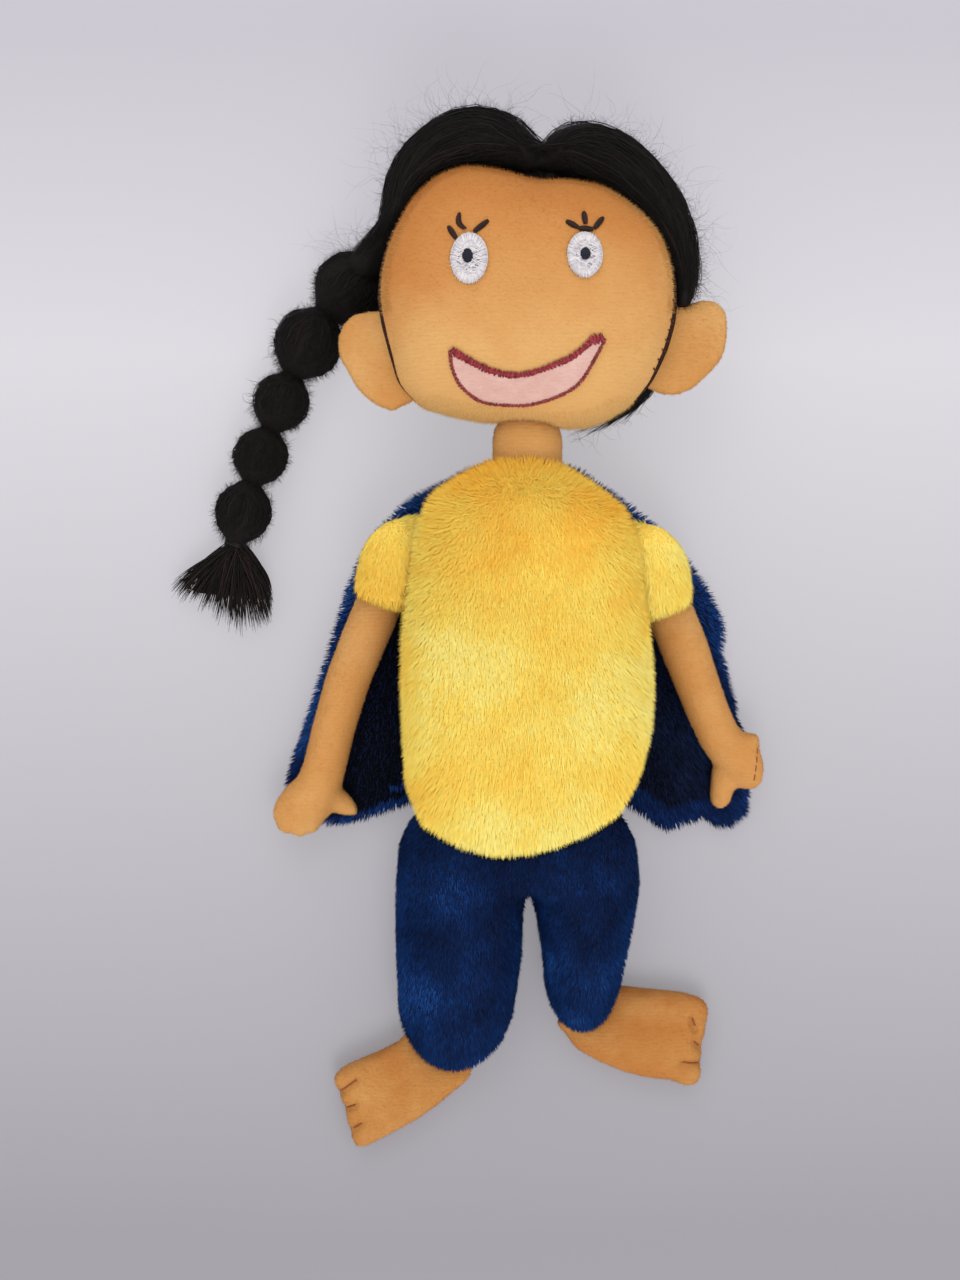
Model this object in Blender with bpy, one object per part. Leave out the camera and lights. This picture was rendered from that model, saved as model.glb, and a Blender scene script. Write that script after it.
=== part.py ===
# A handmade rag doll that lies on its back: head towards +Y, face towards +Z. Lengths are in metres.
# The origin is the middle of the flat patch of the trousers' seat that it rests on.
# Left and right are the viewer's, as seen from the front.
import math

import bmesh
import bpy
import numpy as np
from mathutils import Matrix, Vector

TAU = 2 * math.pi

# Fabric, fits and cuts
FABRIC_THICKNESS = 0.0022
SEAM_GAP = 0.0003
STUFFING_GAP = 0.0005
REST_FLAT_DEPTH = 0.0005
CUT_REACH = 0.5
INNER_DETAIL_SHARE = 0.6

# The cape, flat under the body
CAPE_WIDTH = 0.170
CAPE_LENGTH = 0.1342
CAPE_THICKNESS = 0.0045
LINING_THICKNESS = 0.0012
CAPE_FOLD_HEIGHT = 0.0014
CAPE_FOLDS = 7

# The body and its shirt
BODY_X = 0.0031
SHIRT_HEM_Y = 0.0054
SHIRT_LENGTH = 0.141
SHIRT_WIDTH = 0.0896
SHIRT_DEPTH = 0.052
SHIRT_TOP_TUCK = 0.0025

# The trousers
SEAT_WIDTH = 0.0892
SEAT_LENGTH = 0.068
SEAT_DEPTH = 0.0405
HIP_Y = -0.009
LEFT_LEG_X = -0.0209
LEFT_LEG_LENGTH = 0.0662
LEFT_LEG_WIDTH = 0.0480
RIGHT_LEG_X = 0.0246
RIGHT_LEG_LENGTH = 0.0518
RIGHT_LEG_WIDTH = 0.0392
LEG_DEPTH = 0.0395

# The feet
LEFT_FOOT_X = -0.0438
LEFT_FOOT_Y = -0.0825
LEFT_FOOT_WIDTH = 0.0555
LEFT_FOOT_LENGTH = 0.0472
RIGHT_FOOT_X = 0.0456
RIGHT_FOOT_Y = -0.065
RIGHT_FOOT_WIDTH = 0.0585
RIGHT_FOOT_LENGTH = 0.0375
FOOT_DEPTH = 0.0125

# The sleeves and arms
SLEEVE_WIDTH = 0.040
SLEEVE_LENGTH = 0.052
SLEEVE_DEPTH = 0.032
ARM_LENGTH = 0.0885
ARM_WIDTH = 0.0168
ARM_DEPTH = 0.0172
THUMB_WIDTH = 0.0090
LEFT_THUMB_LENGTH = 0.0155
RIGHT_THUMB_LENGTH = 0.0235

# The neck
NECK_LENGTH = 0.0108
NECK_WIDTH = 0.0234
NECK_DEPTH = 0.0184
NECK_HEAD_GAP = 0.003

# The head
HEAD_WIDTH = 0.1074
HEAD_HEIGHT = 0.0958
HEAD_DEPTH = 0.054
HEAD_REST = 0.007
HEAD_SEAM_RISE = 0.008
EAR_WIDTH = 0.0287
EAR_LENGTH = 0.0362
EAR_DEPTH = 0.0076
EYE_WIDTH = 0.0129
EYE_HEIGHT = 0.0174
PUPIL_WIDTH = 0.0034
PUPIL_HEIGHT = 0.0048
PATCH_THICKNESS = 0.0009
MOUTH_WIDTH = 0.0496
MOUTH_HEIGHT = 0.0208
LIP_WIDTH = 0.0016
LIP_THICKNESS = 0.0013

# The hair
HAIR_ROLL_WIDTH = 0.0205
HAIR_ROLL_DEPTH = 0.032
HAIR_BACK_DEPTH = 0.024
BRAID_LENGTH = 0.118
BRAID_ROOT_LENGTH = 0.022
BRAID_WIDTH = 0.0236
BRAID_DEPTH = 0.0205
BRAID_TIE_WIDTH = 0.0088
BRAID_TIE_GAP = 0.0006
TASSEL_LENGTH = 0.0285
TASSEL_WIDTH = 0.0345
TASSEL_DEPTH = 0.0085

# Outlines and routes, as shares of the half sizes of the piece that they shape
HEAD_OUTLINE_SHARES = [
    (1.0, 0.01), (0.93, 0.38), (0.745, 0.65), (0.46, 0.86), (0.04, 0.90), (-0.39, 0.975), (-0.72, 0.79),
    (-0.93, 0.39), (-1.0, 0.0), (-0.94, -0.38), (-0.80, -0.78), (-0.39, -0.93), (0.0, -0.97), (0.40, -0.99),
    (0.76, -0.76), (0.95, -0.38),
]
SHIRT_OUTLINE_SHARES = [
    (0.99, 0.0), (0.91, 0.37), (0.80, 0.70), (0.36, 0.91), (0.0, 1.0), (-0.40, 0.93), (-0.80, 0.76),
    (-0.93, 0.39), (-0.99, 0.0), (-0.98, -0.40), (-0.88, -0.79), (-0.42, -0.97), (0.0, -0.98), (0.42, -0.89),
    (0.78, -0.73), (0.97, -0.38),
]
LEFT_FOOT_SHARES = [
    (1.0, 0.20), (0.80, 0.75), (0.14, 0.80), (-0.37, 0.50), (-0.71, 0.34), (-0.90, 0.12), (-0.81, -0.13),
    (-0.73, -0.42), (-0.66, -0.75), (-0.55, -1.0), (-0.39, -0.91), (0.18, -0.57), (0.58, -0.24), (0.86, 0.05),
]
RIGHT_FOOT_SHARES = [
    (0.81, -0.03), (0.86, 0.41), (0.87, 0.71), (0.68, 0.89), (0.15, 1.0), (-0.30, 0.99), (-0.75, 0.85),
    (-1.0, 0.41), (-0.95, 0.07), (-0.77, -0.25), (-0.37, -0.55), (0.02, -0.75), (0.41, -0.81), (0.62, -0.95),
    (0.78, -0.83), (0.79, -0.45),
]
LEFT_EAR_SHARES = [
    (1.0, 0.0), (0.92, 0.38), (0.70, 0.70), (0.38, 0.92), (0.0, 1.0), (-0.38, 0.97), (-0.70, 0.88),
    (-0.93, 0.64), (-1.0, 0.40), (-0.98, 0.10), (-0.80, -0.15), (-0.60, -0.45), (-0.35, -0.70), (0.0, -0.90),
    (0.50, -1.0), (0.90, -0.60),
]
RIGHT_EAR_SHARES = [
    (0.88, 0.0), (0.93, 0.38), (0.92, 0.70), (0.70, 0.95), (0.30, 1.0), (-0.15, 0.88), (-0.60, 0.60),
    (-0.90, 0.30), (-1.0, 0.0), (-1.0, -0.35), (-0.95, -0.70), (-0.75, -0.88), (-0.35, -0.90), (0.10, -0.75),
    (0.45, -0.48), (0.72, -0.25),
]
MOUTH_OUTLINE_SHARES = [
    (0.99, 0.91), (0.78, 0.86), (0.52, 0.37), (0.14, 0.03), (-0.17, -0.18), (-0.48, -0.03), (-0.77, 0.26),
    (-0.99, 0.60), (-0.99, 0.17), (-0.86, -0.43), (-0.675, -0.77), (-0.36, -1.0), (0.03, -1.0), (0.40, -0.71),
    (0.675, -0.34), (0.86, 0.31),
]
EYE_SIZE_SHARES = {"left": (1.0, 1.0), "right": (0.95, 0.90)}
CAPE_LEFT_SHARES = [-0.22, -0.51, -0.643, -0.725, -0.774, -0.813, -0.857, -0.906, -0.955, -1.0, -0.95]
CAPE_RIGHT_SHARES = [0.205, 0.427, 0.623, 0.735, 0.84, 0.887, 0.887, 0.952, 0.99, 1.0, 1.0]
CAPE_HEM_SHARES = [
    0.95, 0.975, 0.965, 0.94, 0.913, 0.90, 0.90, 0.90, 0.90, 0.90, 0.905, 0.91, 0.925, 0.99, 0.97, 0.995,
    0.945,
]
HAIR_BACK_SHARES = (0.86, 0.98)
BRAID_ROUTE_SHARES = [
    (0.0, 0.0), (-0.175, -0.140), (-0.275, -0.337), (-0.344, -0.509), (-0.403, -0.675), (-0.453, -0.860),
]
BRAID_WIDTH_SHARES = [1.0, 0.93, 0.83, 0.78, 0.82]
BRAID_ROOT_WIDTH_SHARE = 0.8
LEFT_LEG_BEND_SHARES = [(0.0, -0.19), (0.0, 0.0), (-0.01, 0.33), (-0.03, 0.66), (-0.07, 1.0)]
RIGHT_LEG_BEND_SHARES = [(0.0, -0.24), (0.0, 0.0), (0.0, 0.33), (-0.015, 0.66), (0.0, 1.0)]
LEFT_LEG_WIDTH_SHARES = [1.0, 1.0, 0.98, 0.90, 0.78]
RIGHT_LEG_WIDTH_SHARES = [1.0, 1.0, 0.84, 0.72, 0.62]
LEG_DEPTH_SHARES = [1.0, 1.0, 0.96, 0.84, 0.68]
LEFT_ARM_BEND_SHARES = [
    (0.03, -0.10), (0.0, 0.0), (-0.069, 0.163), (-0.159, 0.399), (-0.221, 0.643), (-0.258, 0.771),
    (-0.323, 0.850), (-0.447, 0.915),
]
RIGHT_ARM_BEND_SHARES = [
    (-0.03, -0.10), (0.0, 0.0), (0.067, 0.170), (0.125, 0.331), (0.192, 0.497), (0.244, 0.571),
    (0.302, 0.637), (0.368, 0.749),
]
LEFT_ARM_WIDTH_SHARES = [1.0, 1.03, 1.02, 0.97, 0.95, 1.02, 1.18, 1.10]
RIGHT_ARM_WIDTH_SHARES = [0.96, 1.03, 1.05, 0.96, 0.92, 0.95, 1.0, 0.95]
ARM_DEPTH_SHARES = [0.95, 1.0, 1.0, 0.98, 0.92, 0.84, 0.78, 0.62]
LEFT_THUMB_SHARES = (0.81, -0.59)
RIGHT_THUMB_SHARES = (-0.12, -0.99)
LEFT_ROLL_ROUTE_SHARES = [
    (0.07, 1.08), (-0.05, 1.14), (-0.21, 1.18), (-0.40, 1.19), (-0.59, 1.115), (-0.77, 0.95), (-0.88, 0.745),
    (-0.95, 0.52), (-0.975, 0.30),
]
RIGHT_ROLL_ROUTE_SHARES = [
    (0.15, 1.06), (0.25, 1.08), (0.375, 1.085), (0.54, 1.033), (0.725, 0.885), (0.877, 0.685), (1.0, 0.426),
    (1.05, 0.225), (1.036, -0.03),
]
ROLL_WIDTH_SHARES = [0.35, 0.82, 0.98, 0.94, 0.83, 0.71, 0.60, 0.47, 0.29]
ROLL_DEPTH_SHARES = [0.55, 0.85, 1.0, 1.0, 0.97, 0.92, 0.85, 0.72, 0.50]
TASSEL_WIDTH_SHARES = [0.22, 0.42, 0.72, 1.0]
TASSEL_DEPTH_SHARES = [1.0, 0.9, 0.75, 0.6]

# Levels and places that follow from the sizes
CAPE_TOP_Z = LINING_THICKNESS + SEAM_GAP + CAPE_THICKNESS
REST_ON_CAPE_Z = CAPE_TOP_Z + SEAM_GAP
NECK_SEAM_Y = SHIRT_HEM_Y + SHIRT_LENGTH
SHIRT_HALF = Vector((SHIRT_WIDTH, SHIRT_LENGTH + SHIRT_TOP_TUCK, SHIRT_DEPTH)) / 2
SHIRT_CENTRE = SHIRT_HALF + Vector((
    BODY_X - SHIRT_HALF.x, SHIRT_HEM_Y, REST_ON_CAPE_Z - REST_FLAT_DEPTH
))
HEAD_HALF = Vector((HEAD_WIDTH, HEAD_HEIGHT, HEAD_DEPTH)) / 2
CHIN_Y = NECK_SEAM_Y + NECK_LENGTH
HEAD_CENTRE = Vector((BODY_X, CHIN_Y + HEAD_HALF.y, HEAD_REST + HEAD_HALF.z))
NECK_PIVOT = Vector((BODY_X, CHIN_Y - NECK_HEAD_GAP, SHIRT_CENTRE.z))
LEFT, RIGHT = -1, 1


def along(values, share, closed=False):
    """The value a share of the way along a list, on a smooth curve through its entries."""
    values = np.asarray(values, float)
    if closed:
        place = share % 1.0 * len(values)
        values = np.concatenate([values[-1:], values, values[:2]])
    else:
        place = min(max(share, 0.0), 1.0) * (len(values) - 1)
        values = np.concatenate([[2 * values[0] - values[1]], values, [2 * values[-1] - values[-2]]])
    first = min(int(place), len(values) - 4)
    t = place - first
    a, b, c, d = values[first:first + 4]
    return 0.5 * (2 * b + (c - a) * t + (2 * a - 5 * b + 4 * c - d) * t**2 + (3 * b - a - 3 * c + d) * t**3)


def rounded_shares(squareness, count=16):
    """The outline of a rounded rectangle: squareness 2 is an ellipse, and more is squarer."""
    points = []
    for step in range(count):
        x, y = math.cos(TAU * step / count), math.sin(TAU * step / count)
        power = 2 / squareness
        points.append((math.copysign(abs(x) ** power, x), math.copysign(abs(y) ** power, y)))
    return points


def head_place(x_share, y_share, z_share=0.0):
    return HEAD_CENTRE + Vector((x_share * HEAD_HALF.x, y_share * HEAD_HALF.y, z_share * HEAD_HALF.z))


def shirt_place(x_share, y_share):
    return SHIRT_CENTRE + Vector((x_share * SHIRT_HALF.x, y_share * SHIRT_HALF.y, 0.0))


# Meshes

def ball(around, rings, inset):
    """A unit sphere. The unseen inner faces, which are inset, get fewer facets."""
    if inset > 0:
        around, rings = 2 * round(around * INNER_DETAIL_SHARE / 2), 2 * round(rings * INNER_DETAIL_SHARE / 2)
    bm = bmesh.new()
    bmesh.ops.create_uvsphere(bm, u_segments=around, v_segments=rings, radius=1)
    return bm


def pillow_mesh(centre, half, outline_shares, inset=0.0, around=24, rings=12, fullness=0.85):
    """A stuffed form that swells from a seam outline. A negative inset makes it larger all round."""
    bm = ball(around, rings, inset)
    for vert in bm.verts:
        turn = math.atan2(vert.co.y, vert.co.x) / TAU
        reach = math.hypot(vert.co.x, vert.co.y) ** fullness
        rise = math.copysign(abs(vert.co.z) ** fullness, vert.co.z)
        x, y = along(outline_shares, turn, closed=True)
        offset = (x * reach * (half.x - inset), y * reach * (half.y - inset), rise * (half.z - inset))
        vert.co = centre + Vector(offset)
    return bm


def limb_mesh(
    route,
    half_widths,
    half_depths,
    inset=0.0,
    caps=(0.12, 0.25),
    levels=0.0,
    around=14,
    rings=12,
    roundness=2.0,
):
    """A stuffed tube with round ends. Its underside lies at one level, or its middle at a list of levels."""
    route = np.asarray(route, float)
    length = np.linalg.norm(np.diff(route, axis=0), axis=1).sum()
    trim = inset / length
    bm = ball(around, rings, inset)
    for vert in bm.verts:
        share = (1 + vert.co.z) / 2
        place = trim + share * (1 - 2 * trim)
        middle = along(route, place)
        ahead = along(route, place + 0.02) - along(route, place - 0.02)
        ahead /= np.linalg.norm(ahead)
        start, end = max(1 - share / caps[0], 0.0), max(1 - (1 - share) / caps[1], 0.0)
        rounding = max(1 - max(start, end) ** roundness, 0.0) ** (1 / roundness)
        half_width = (along(half_widths, place) - inset) * rounding
        full_depth = along(half_depths, place)
        half_depth = (full_depth - inset) * rounding
        level = levels + full_depth if isinstance(levels, float) else along(levels, place)
        turn = math.atan2(vert.co.y, vert.co.x)
        sideways = half_width * math.cos(turn)
        vert.co = (
            middle[0] - ahead[1] * sideways,
            middle[1] + ahead[0] * sideways,
            level + half_depth * math.sin(turn),
        )
    return bm


def box_mesh(low, high):
    low, high = Vector(low), Vector(high)
    bm = bmesh.new()
    place = Matrix.Translation((low + high) / 2) @ Matrix.Diagonal((*(high - low), 1))
    bmesh.ops.create_cube(bm, size=1, matrix=place)
    return bm


def below_mesh(level):
    """Everything under a level."""
    return box_mesh((-CUT_REACH, -CUT_REACH, level - CUT_REACH), (CUT_REACH, CUT_REACH, level))


def beyond_mesh(point, direction):
    """Everything past a point, on the side that a level direction looks to."""
    bm = box_mesh((0, -CUT_REACH, -CUT_REACH), (CUT_REACH, CUT_REACH, CUT_REACH))
    turn = Matrix.Rotation(math.atan2(direction[1], direction[0]), 4, "Z")
    bm.transform(Matrix.Translation((point[0], point[1], 0)) @ turn)
    return bm


def spheroid_mesh(centre, half, around=16, rings=8):
    bm = ball(around, rings, 0.0)
    bm.transform(Matrix.Translation(centre) @ Matrix.Diagonal((*half, 1)))
    return bm


def prism_mesh(outline, low, high):
    """An upright prism over a closed outline."""
    bm = bmesh.new()
    ring = bmesh.ops.create_circle(bm, cap_ends=True, segments=len(outline), radius=1)["verts"]
    ring.sort(key=lambda vert: math.atan2(vert.co.y, vert.co.x) % TAU)
    for vert, (x, y) in zip(ring, outline):
        vert.co = (x, y, low)
    top = bmesh.ops.extrude_face_region(bm, geom=bm.faces[:])["geom"]
    raised = [item for item in top if isinstance(item, bmesh.types.BMVert)]
    bmesh.ops.translate(bm, vec=(0, 0, high - low), verts=raised)
    bmesh.ops.recalc_face_normals(bm, faces=bm.faces[:])
    return bm


def smooth_outline(centre, half, shares, grow=0.0, count=28):
    """Points on a closed outline, moved outwards by grow."""
    points = np.array([along(shares, step / count, closed=True) for step in range(count)])
    points = points * (half.x, half.y) + (centre.x, centre.y)
    tangents = np.roll(points, -1, axis=0) - np.roll(points, 1, axis=0)
    tangents /= np.linalg.norm(tangents, axis=1)[:, None]
    return points + grow * np.stack([tangents[:, 1], -tangents[:, 0]], axis=1)


# Objects

def new_collection(name):
    collection = bpy.data.collections.new(name)
    bpy.context.scene.collection.children.link(collection)
    return collection


def material(name, colour, roughness=0.9):
    look = bpy.data.materials.new(name)
    look.use_nodes = True
    shader = look.node_tree.nodes["Principled BSDF"]
    shader.inputs["Base Color"].default_value = (*colour, 1)
    shader.inputs["Roughness"].default_value = roughness
    shader.inputs["Metallic"].default_value = 0
    return look


def add_object(name, bm, collection):
    mesh = bpy.data.meshes.new(name)
    bm.to_mesh(mesh)
    bm.free()
    mesh.shade_smooth()
    obj = bpy.data.objects.new(name, mesh)
    collection.objects.link(obj)
    return obj


def piece(name, bm, look):
    obj = add_object(name, bm, doll)
    obj.data.materials.append(look)
    return obj


def cutter(name, bm):
    obj = add_object(name + "_cutter", bm, cutters)
    obj.hide_render = True
    obj.display_type = "WIRE"
    return obj


def shape_by(obj, *others, operation="DIFFERENCE"):
    for other in others:
        modifier = obj.modifiers.new(other.name, "BOOLEAN")
        modifier.operation = operation
        modifier.object = other


def joint(name, pivot, parent=None):
    """An empty on a joint's axis, which carries the pieces that turn about it."""
    empty = bpy.data.objects.new(name, None)
    doll.objects.link(empty)
    empty["pivot"] = tuple(pivot)
    empty.location = Vector(pivot) - (Vector(parent["pivot"]) if parent else Vector())
    empty.parent = parent
    return empty


def carry(empty, *objects):
    for obj in objects:
        obj.parent = empty
        obj.matrix_parent_inverse = Matrix.Translation(-Vector(empty["pivot"]))


def stuffed(name, shape, look, trims=(), unions=()):
    """A sewn skin that is open where it is trimmed, and the stuffing inside it."""
    skin = piece(name, shape(0.0), look)
    hollow = cutter(name + "_hollow", shape(FABRIC_THICKNESS))
    filling = piece(name + "_stuffing", shape(FABRIC_THICKNESS + STUFFING_GAP), materials["stuffing"])
    for number, extra in enumerate(unions):
        shape_by(skin, cutter(f"{name}_extra_{number}", extra(0.0)), operation="UNION")
        shape_by(hollow, cutter(f"{name}_extra_hollow_{number}", extra(FABRIC_THICKNESS)), operation="UNION")
        inner = cutter(f"{name}_extra_stuffing_{number}", extra(FABRIC_THICKNESS + STUFFING_GAP))
        shape_by(filling, inner, operation="UNION")
    shape_by(skin, hollow, *trims)
    shape_by(filling, *trims)
    return skin, filling


def two_panels(front_name, back_name, stuffing_name, shape, looks, seam_z, trims=()):
    """A front and a back panel that meet at a seam, and the stuffing between them."""
    front = piece(front_name, shape(0.0), looks[0])
    back = piece(back_name, shape(0.0), looks[1])
    filling = piece(stuffing_name, shape(FABRIC_THICKNESS + STUFFING_GAP), materials["stuffing"])
    hollow = cutter(stuffing_name + "_hollow", shape(FABRIC_THICKNESS))
    under = cutter(front_name + "_seam", below_mesh(seam_z + SEAM_GAP / 2))
    low = (-CUT_REACH, -CUT_REACH, seam_z - SEAM_GAP / 2)
    over = cutter(back_name + "_seam", box_mesh(low, (CUT_REACH, CUT_REACH, seam_z + CUT_REACH)))
    shape_by(front, hollow, under, *trims)
    shape_by(back, hollow, over, *trims)
    shape_by(filling, *trims)
    return front, back, filling


# The doll's pieces

def shirt_mesh(inset):
    outline = SHIRT_OUTLINE_SHARES
    return pillow_mesh(SHIRT_CENTRE, SHIRT_HALF, outline, inset, around=26, rings=12, fullness=0.75)


def head_mesh(inset):
    return pillow_mesh(HEAD_CENTRE, HEAD_HALF, HEAD_OUTLINE_SHARES, inset, around=28, rings=12)


def shoulder_seam(side):
    """The upper end of a shoulder seam, and the level direction that looks away from the body there."""
    if side == LEFT:
        upper, lower = shirt_place(-0.875, 0.68), shirt_place(-0.985, 0.20)
    else:
        upper, lower = shirt_place(0.857, 0.68), shirt_place(0.935, 0.20)
    run = upper - lower
    outward = Vector((run.y * side, -run.x * side, 0)).normalized()
    return upper, outward


def build_body():
    neck_cut = cutter("neck_seam", beyond_mesh((BODY_X, NECK_SEAM_Y), (0, 1)))
    rest_cut = cutter("shirt_rest", below_mesh(REST_ON_CAPE_Z))
    shoulder_cuts = [
        cutter(f"shoulder_seat_{side}", beyond_mesh(*shoulder_seam(side))) for side in (LEFT, RIGHT)
    ]
    looks = (materials["yellow_plush"], materials["yellow_plush"])
    trims = (neck_cut, rest_cut, *shoulder_cuts)
    two_panels("shirt_front", "shirt_back", "body_stuffing", shirt_mesh, looks, SHIRT_CENTRE.z, trims)


def build_seat():
    half = Vector((SEAT_WIDTH, SEAT_LENGTH, SEAT_DEPTH)) / 2
    centre = Vector((0.0, HIP_Y / 2, half.z - REST_FLAT_DEPTH))

    def seat_mesh(inset):
        return pillow_mesh(centre, half, rounded_shares(3), inset, around=20, rings=10, fullness=0.62)

    hip_cut = cutter("hip_seam", beyond_mesh((0, HIP_Y), (0, -1)))
    shirt_clear = cutter("shirt_over_seat", shirt_mesh(-SEAM_GAP))
    rest_cut = cutter("seat_rest", below_mesh(0.0))
    stuffed("trouser_seat", seat_mesh, materials["blue_plush"], (hip_cut, shirt_clear, rest_cut))


def build_leg(side):
    name = "left" if side == LEFT else "right"
    if side == LEFT:
        x, length, width = LEFT_LEG_X, LEFT_LEG_LENGTH, LEFT_LEG_WIDTH
        bends, widths = LEFT_LEG_BEND_SHARES, LEFT_LEG_WIDTH_SHARES
    else:
        x, length, width = RIGHT_LEG_X, RIGHT_LEG_LENGTH, RIGHT_LEG_WIDTH
        bends, widths = RIGHT_LEG_BEND_SHARES, RIGHT_LEG_WIDTH_SHARES
    route = [(x + across * length, HIP_Y - down * length) for across, down in bends]

    def leg_mesh(inset):
        half_widths = [share * width / 2 for share in widths]
        half_depths = [share * LEG_DEPTH / 2 for share in LEG_DEPTH_SHARES]
        level = -REST_FLAT_DEPTH
        return limb_mesh(route, half_widths, half_depths, inset, (0.10, 0.26), level, around=16)

    hip = joint(f"hip_{name}", (x, HIP_Y, LEG_DEPTH), None)
    hip_cut = cutter(f"hip_seat_{name}", beyond_mesh((x, HIP_Y - SEAM_GAP), (0, 1)))
    rest_cut = cutter(f"leg_rest_{name}", below_mesh(0.0))
    carry(hip, *stuffed(f"trouser_leg_{name}", leg_mesh, materials["blue_plush"], (hip_cut, rest_cut)))
    build_foot(side, name, hip, leg_mesh)


def build_foot(side, name, hip, leg_mesh):
    if side == LEFT:
        centre = Vector((LEFT_FOOT_X, LEFT_FOOT_Y, FOOT_DEPTH / 2 - REST_FLAT_DEPTH))
        half = Vector((LEFT_FOOT_WIDTH, LEFT_FOOT_LENGTH, FOOT_DEPTH)) / 2
        outline, seam_shares, away = LEFT_FOOT_SHARES, (0.565, 0.57), (-0.39, -0.92)
    else:
        centre = Vector((RIGHT_FOOT_X, RIGHT_FOOT_Y, FOOT_DEPTH / 2 - REST_FLAT_DEPTH))
        half = Vector((RIGHT_FOOT_WIDTH, RIGHT_FOOT_LENGTH, FOOT_DEPTH)) / 2
        outline, seam_shares, away = RIGHT_FOOT_SHARES, (-0.62, 0.60), (0.50, -0.86)

    def foot_mesh(inset):
        return pillow_mesh(centre, half, outline, inset, around=20, rings=8, fullness=0.6)

    seam = centre + Vector((seam_shares[0] * half.x, seam_shares[1] * half.y, 0))
    seam.z = 0.0
    ankle = joint(f"ankle_{name}", seam, hip)
    seam_cut = cutter(f"ankle_seam_{name}", beyond_mesh(seam, (-away[0], -away[1])))
    leg_clear = cutter(f"leg_over_foot_{name}", leg_mesh(-SEAM_GAP))
    rest_cut = cutter(f"foot_rest_{name}", below_mesh(0.0))
    trims = (seam_cut, leg_clear, rest_cut)
    carry(ankle, *stuffed(f"foot_{name}", foot_mesh, materials["velour"], trims))


def build_arm(side):
    name = "left" if side == LEFT else "right"
    upper, outward = shoulder_seam(side)
    seam = upper + SEAM_GAP * outward
    if side == LEFT:
        middle, hem = shirt_place(-0.9415, 0.357), shirt_place(-1.19, 0.279)
        bends, widths = LEFT_ARM_BEND_SHARES, LEFT_ARM_WIDTH_SHARES
        thumb_run, thumb_length = Vector(LEFT_THUMB_SHARES), LEFT_THUMB_LENGTH
    else:
        middle, hem = shirt_place(0.889, 0.332), shirt_place(1.17, 0.237)
        bends, widths = RIGHT_ARM_BEND_SHARES, RIGHT_ARM_WIDTH_SHARES
        thumb_run, thumb_length = Vector(RIGHT_THUMB_SHARES), RIGHT_THUMB_LENGTH
    route = [(hem.x + across * ARM_LENGTH, hem.y - down * ARM_LENGTH) for across, down in bends]
    away = Vector((route[2][0] - route[0][0], route[2][1] - route[0][1], 0)).normalized()

    def sleeve_mesh(inset):
        half = Vector((SLEEVE_WIDTH, SLEEVE_LENGTH, SLEEVE_DEPTH)) / 2
        centre = Vector((middle.x, middle.y, REST_ON_CAPE_Z + half.z - REST_FLAT_DEPTH))
        return pillow_mesh(centre, half, rounded_shares(2.3), inset, around=16, rings=8)

    def arm_mesh(inset):
        half_widths = [share * ARM_WIDTH / 2 for share in widths]
        half_depths = [share * ARM_DEPTH / 2 for share in ARM_DEPTH_SHARES]
        level = REST_ON_CAPE_Z - REST_FLAT_DEPTH
        return limb_mesh(route, half_widths, half_depths, inset, (0.06, 0.16), level, around=12, rings=14)

    def thumb_mesh(inset):
        wrist, half = Vector(route[5]), THUMB_WIDTH / 2
        thumb = [wrist[:], (wrist + thumb_run * thumb_length)[:]]
        level = REST_ON_CAPE_Z - REST_FLAT_DEPTH
        caps = (half / thumb_length,) * 2
        return limb_mesh(thumb, [half] * 2, [half] * 2, inset, caps, level, 10, 8)

    shoulder = joint(f"shoulder_{name}", (seam.x, seam.y, REST_ON_CAPE_Z + SLEEVE_DEPTH), None)
    body_side = cutter(f"shoulder_seam_{name}", beyond_mesh(seam, -outward))
    rest_cut = cutter(f"arm_rest_{name}", below_mesh(REST_ON_CAPE_Z))
    hem_point = hem - away * SEAM_GAP / 2
    hem_cut = cutter(f"sleeve_hem_{name}", beyond_mesh(hem_point, away))
    arm_top = cutter(f"arm_top_{name}", beyond_mesh(hem_point + away * SEAM_GAP, -away))
    sleeve = stuffed(f"sleeve_{name}", sleeve_mesh, materials["yellow_plush"], (body_side, hem_cut, rest_cut))
    arm = stuffed(f"arm_{name}", arm_mesh, materials["velour"], (arm_top, rest_cut), (thumb_mesh,))
    carry(shoulder, *sleeve, *arm)


def cape_mesh(thickness, base, fold):
    """A layer of the cape: flat below, with long folds that fan out from the neck above."""
    bm = bmesh.new()
    bmesh.ops.create_grid(bm, x_segments=22, y_segments=11, size=0.5)
    for vert in bm.verts:
        across, down = vert.co.x + 0.5, 0.5 - vert.co.y
        left, right = along(CAPE_LEFT_SHARES, down), along(CAPE_RIGHT_SHARES, down)
        x = BODY_X * (1 - down) + CAPE_WIDTH / 2 * (left + (right - left) * across)
        y = NECK_SEAM_Y - SEAM_GAP - CAPE_LENGTH * down * along(CAPE_HEM_SHARES, across)
        sink = fold * down * (0.5 - 0.5 * math.cos(TAU * CAPE_FOLDS * across))
        vert.co = (x, y, base + thickness - sink)
    extruded = bmesh.ops.extrude_face_region(bm, geom=bm.faces[:])["geom"]
    for vert in (item for item in extruded if isinstance(item, bmesh.types.BMVert)):
        vert.co.z = base
    bmesh.ops.recalc_face_normals(bm, faces=bm.faces[:])
    return bm


def build_cape():
    swing = joint("cape_swing", (BODY_X, NECK_SEAM_Y - SEAM_GAP, 0.0), None)
    lining = piece("cape_lining", cape_mesh(LINING_THICKNESS, 0.0, 0.0), materials["lining"])
    outer = piece(
        "cape_outer",
        cape_mesh(CAPE_THICKNESS, LINING_THICKNESS + SEAM_GAP, CAPE_FOLD_HEIGHT),
        materials["blue_plush"],
    )
    carry(swing, lining, outer)


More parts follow.
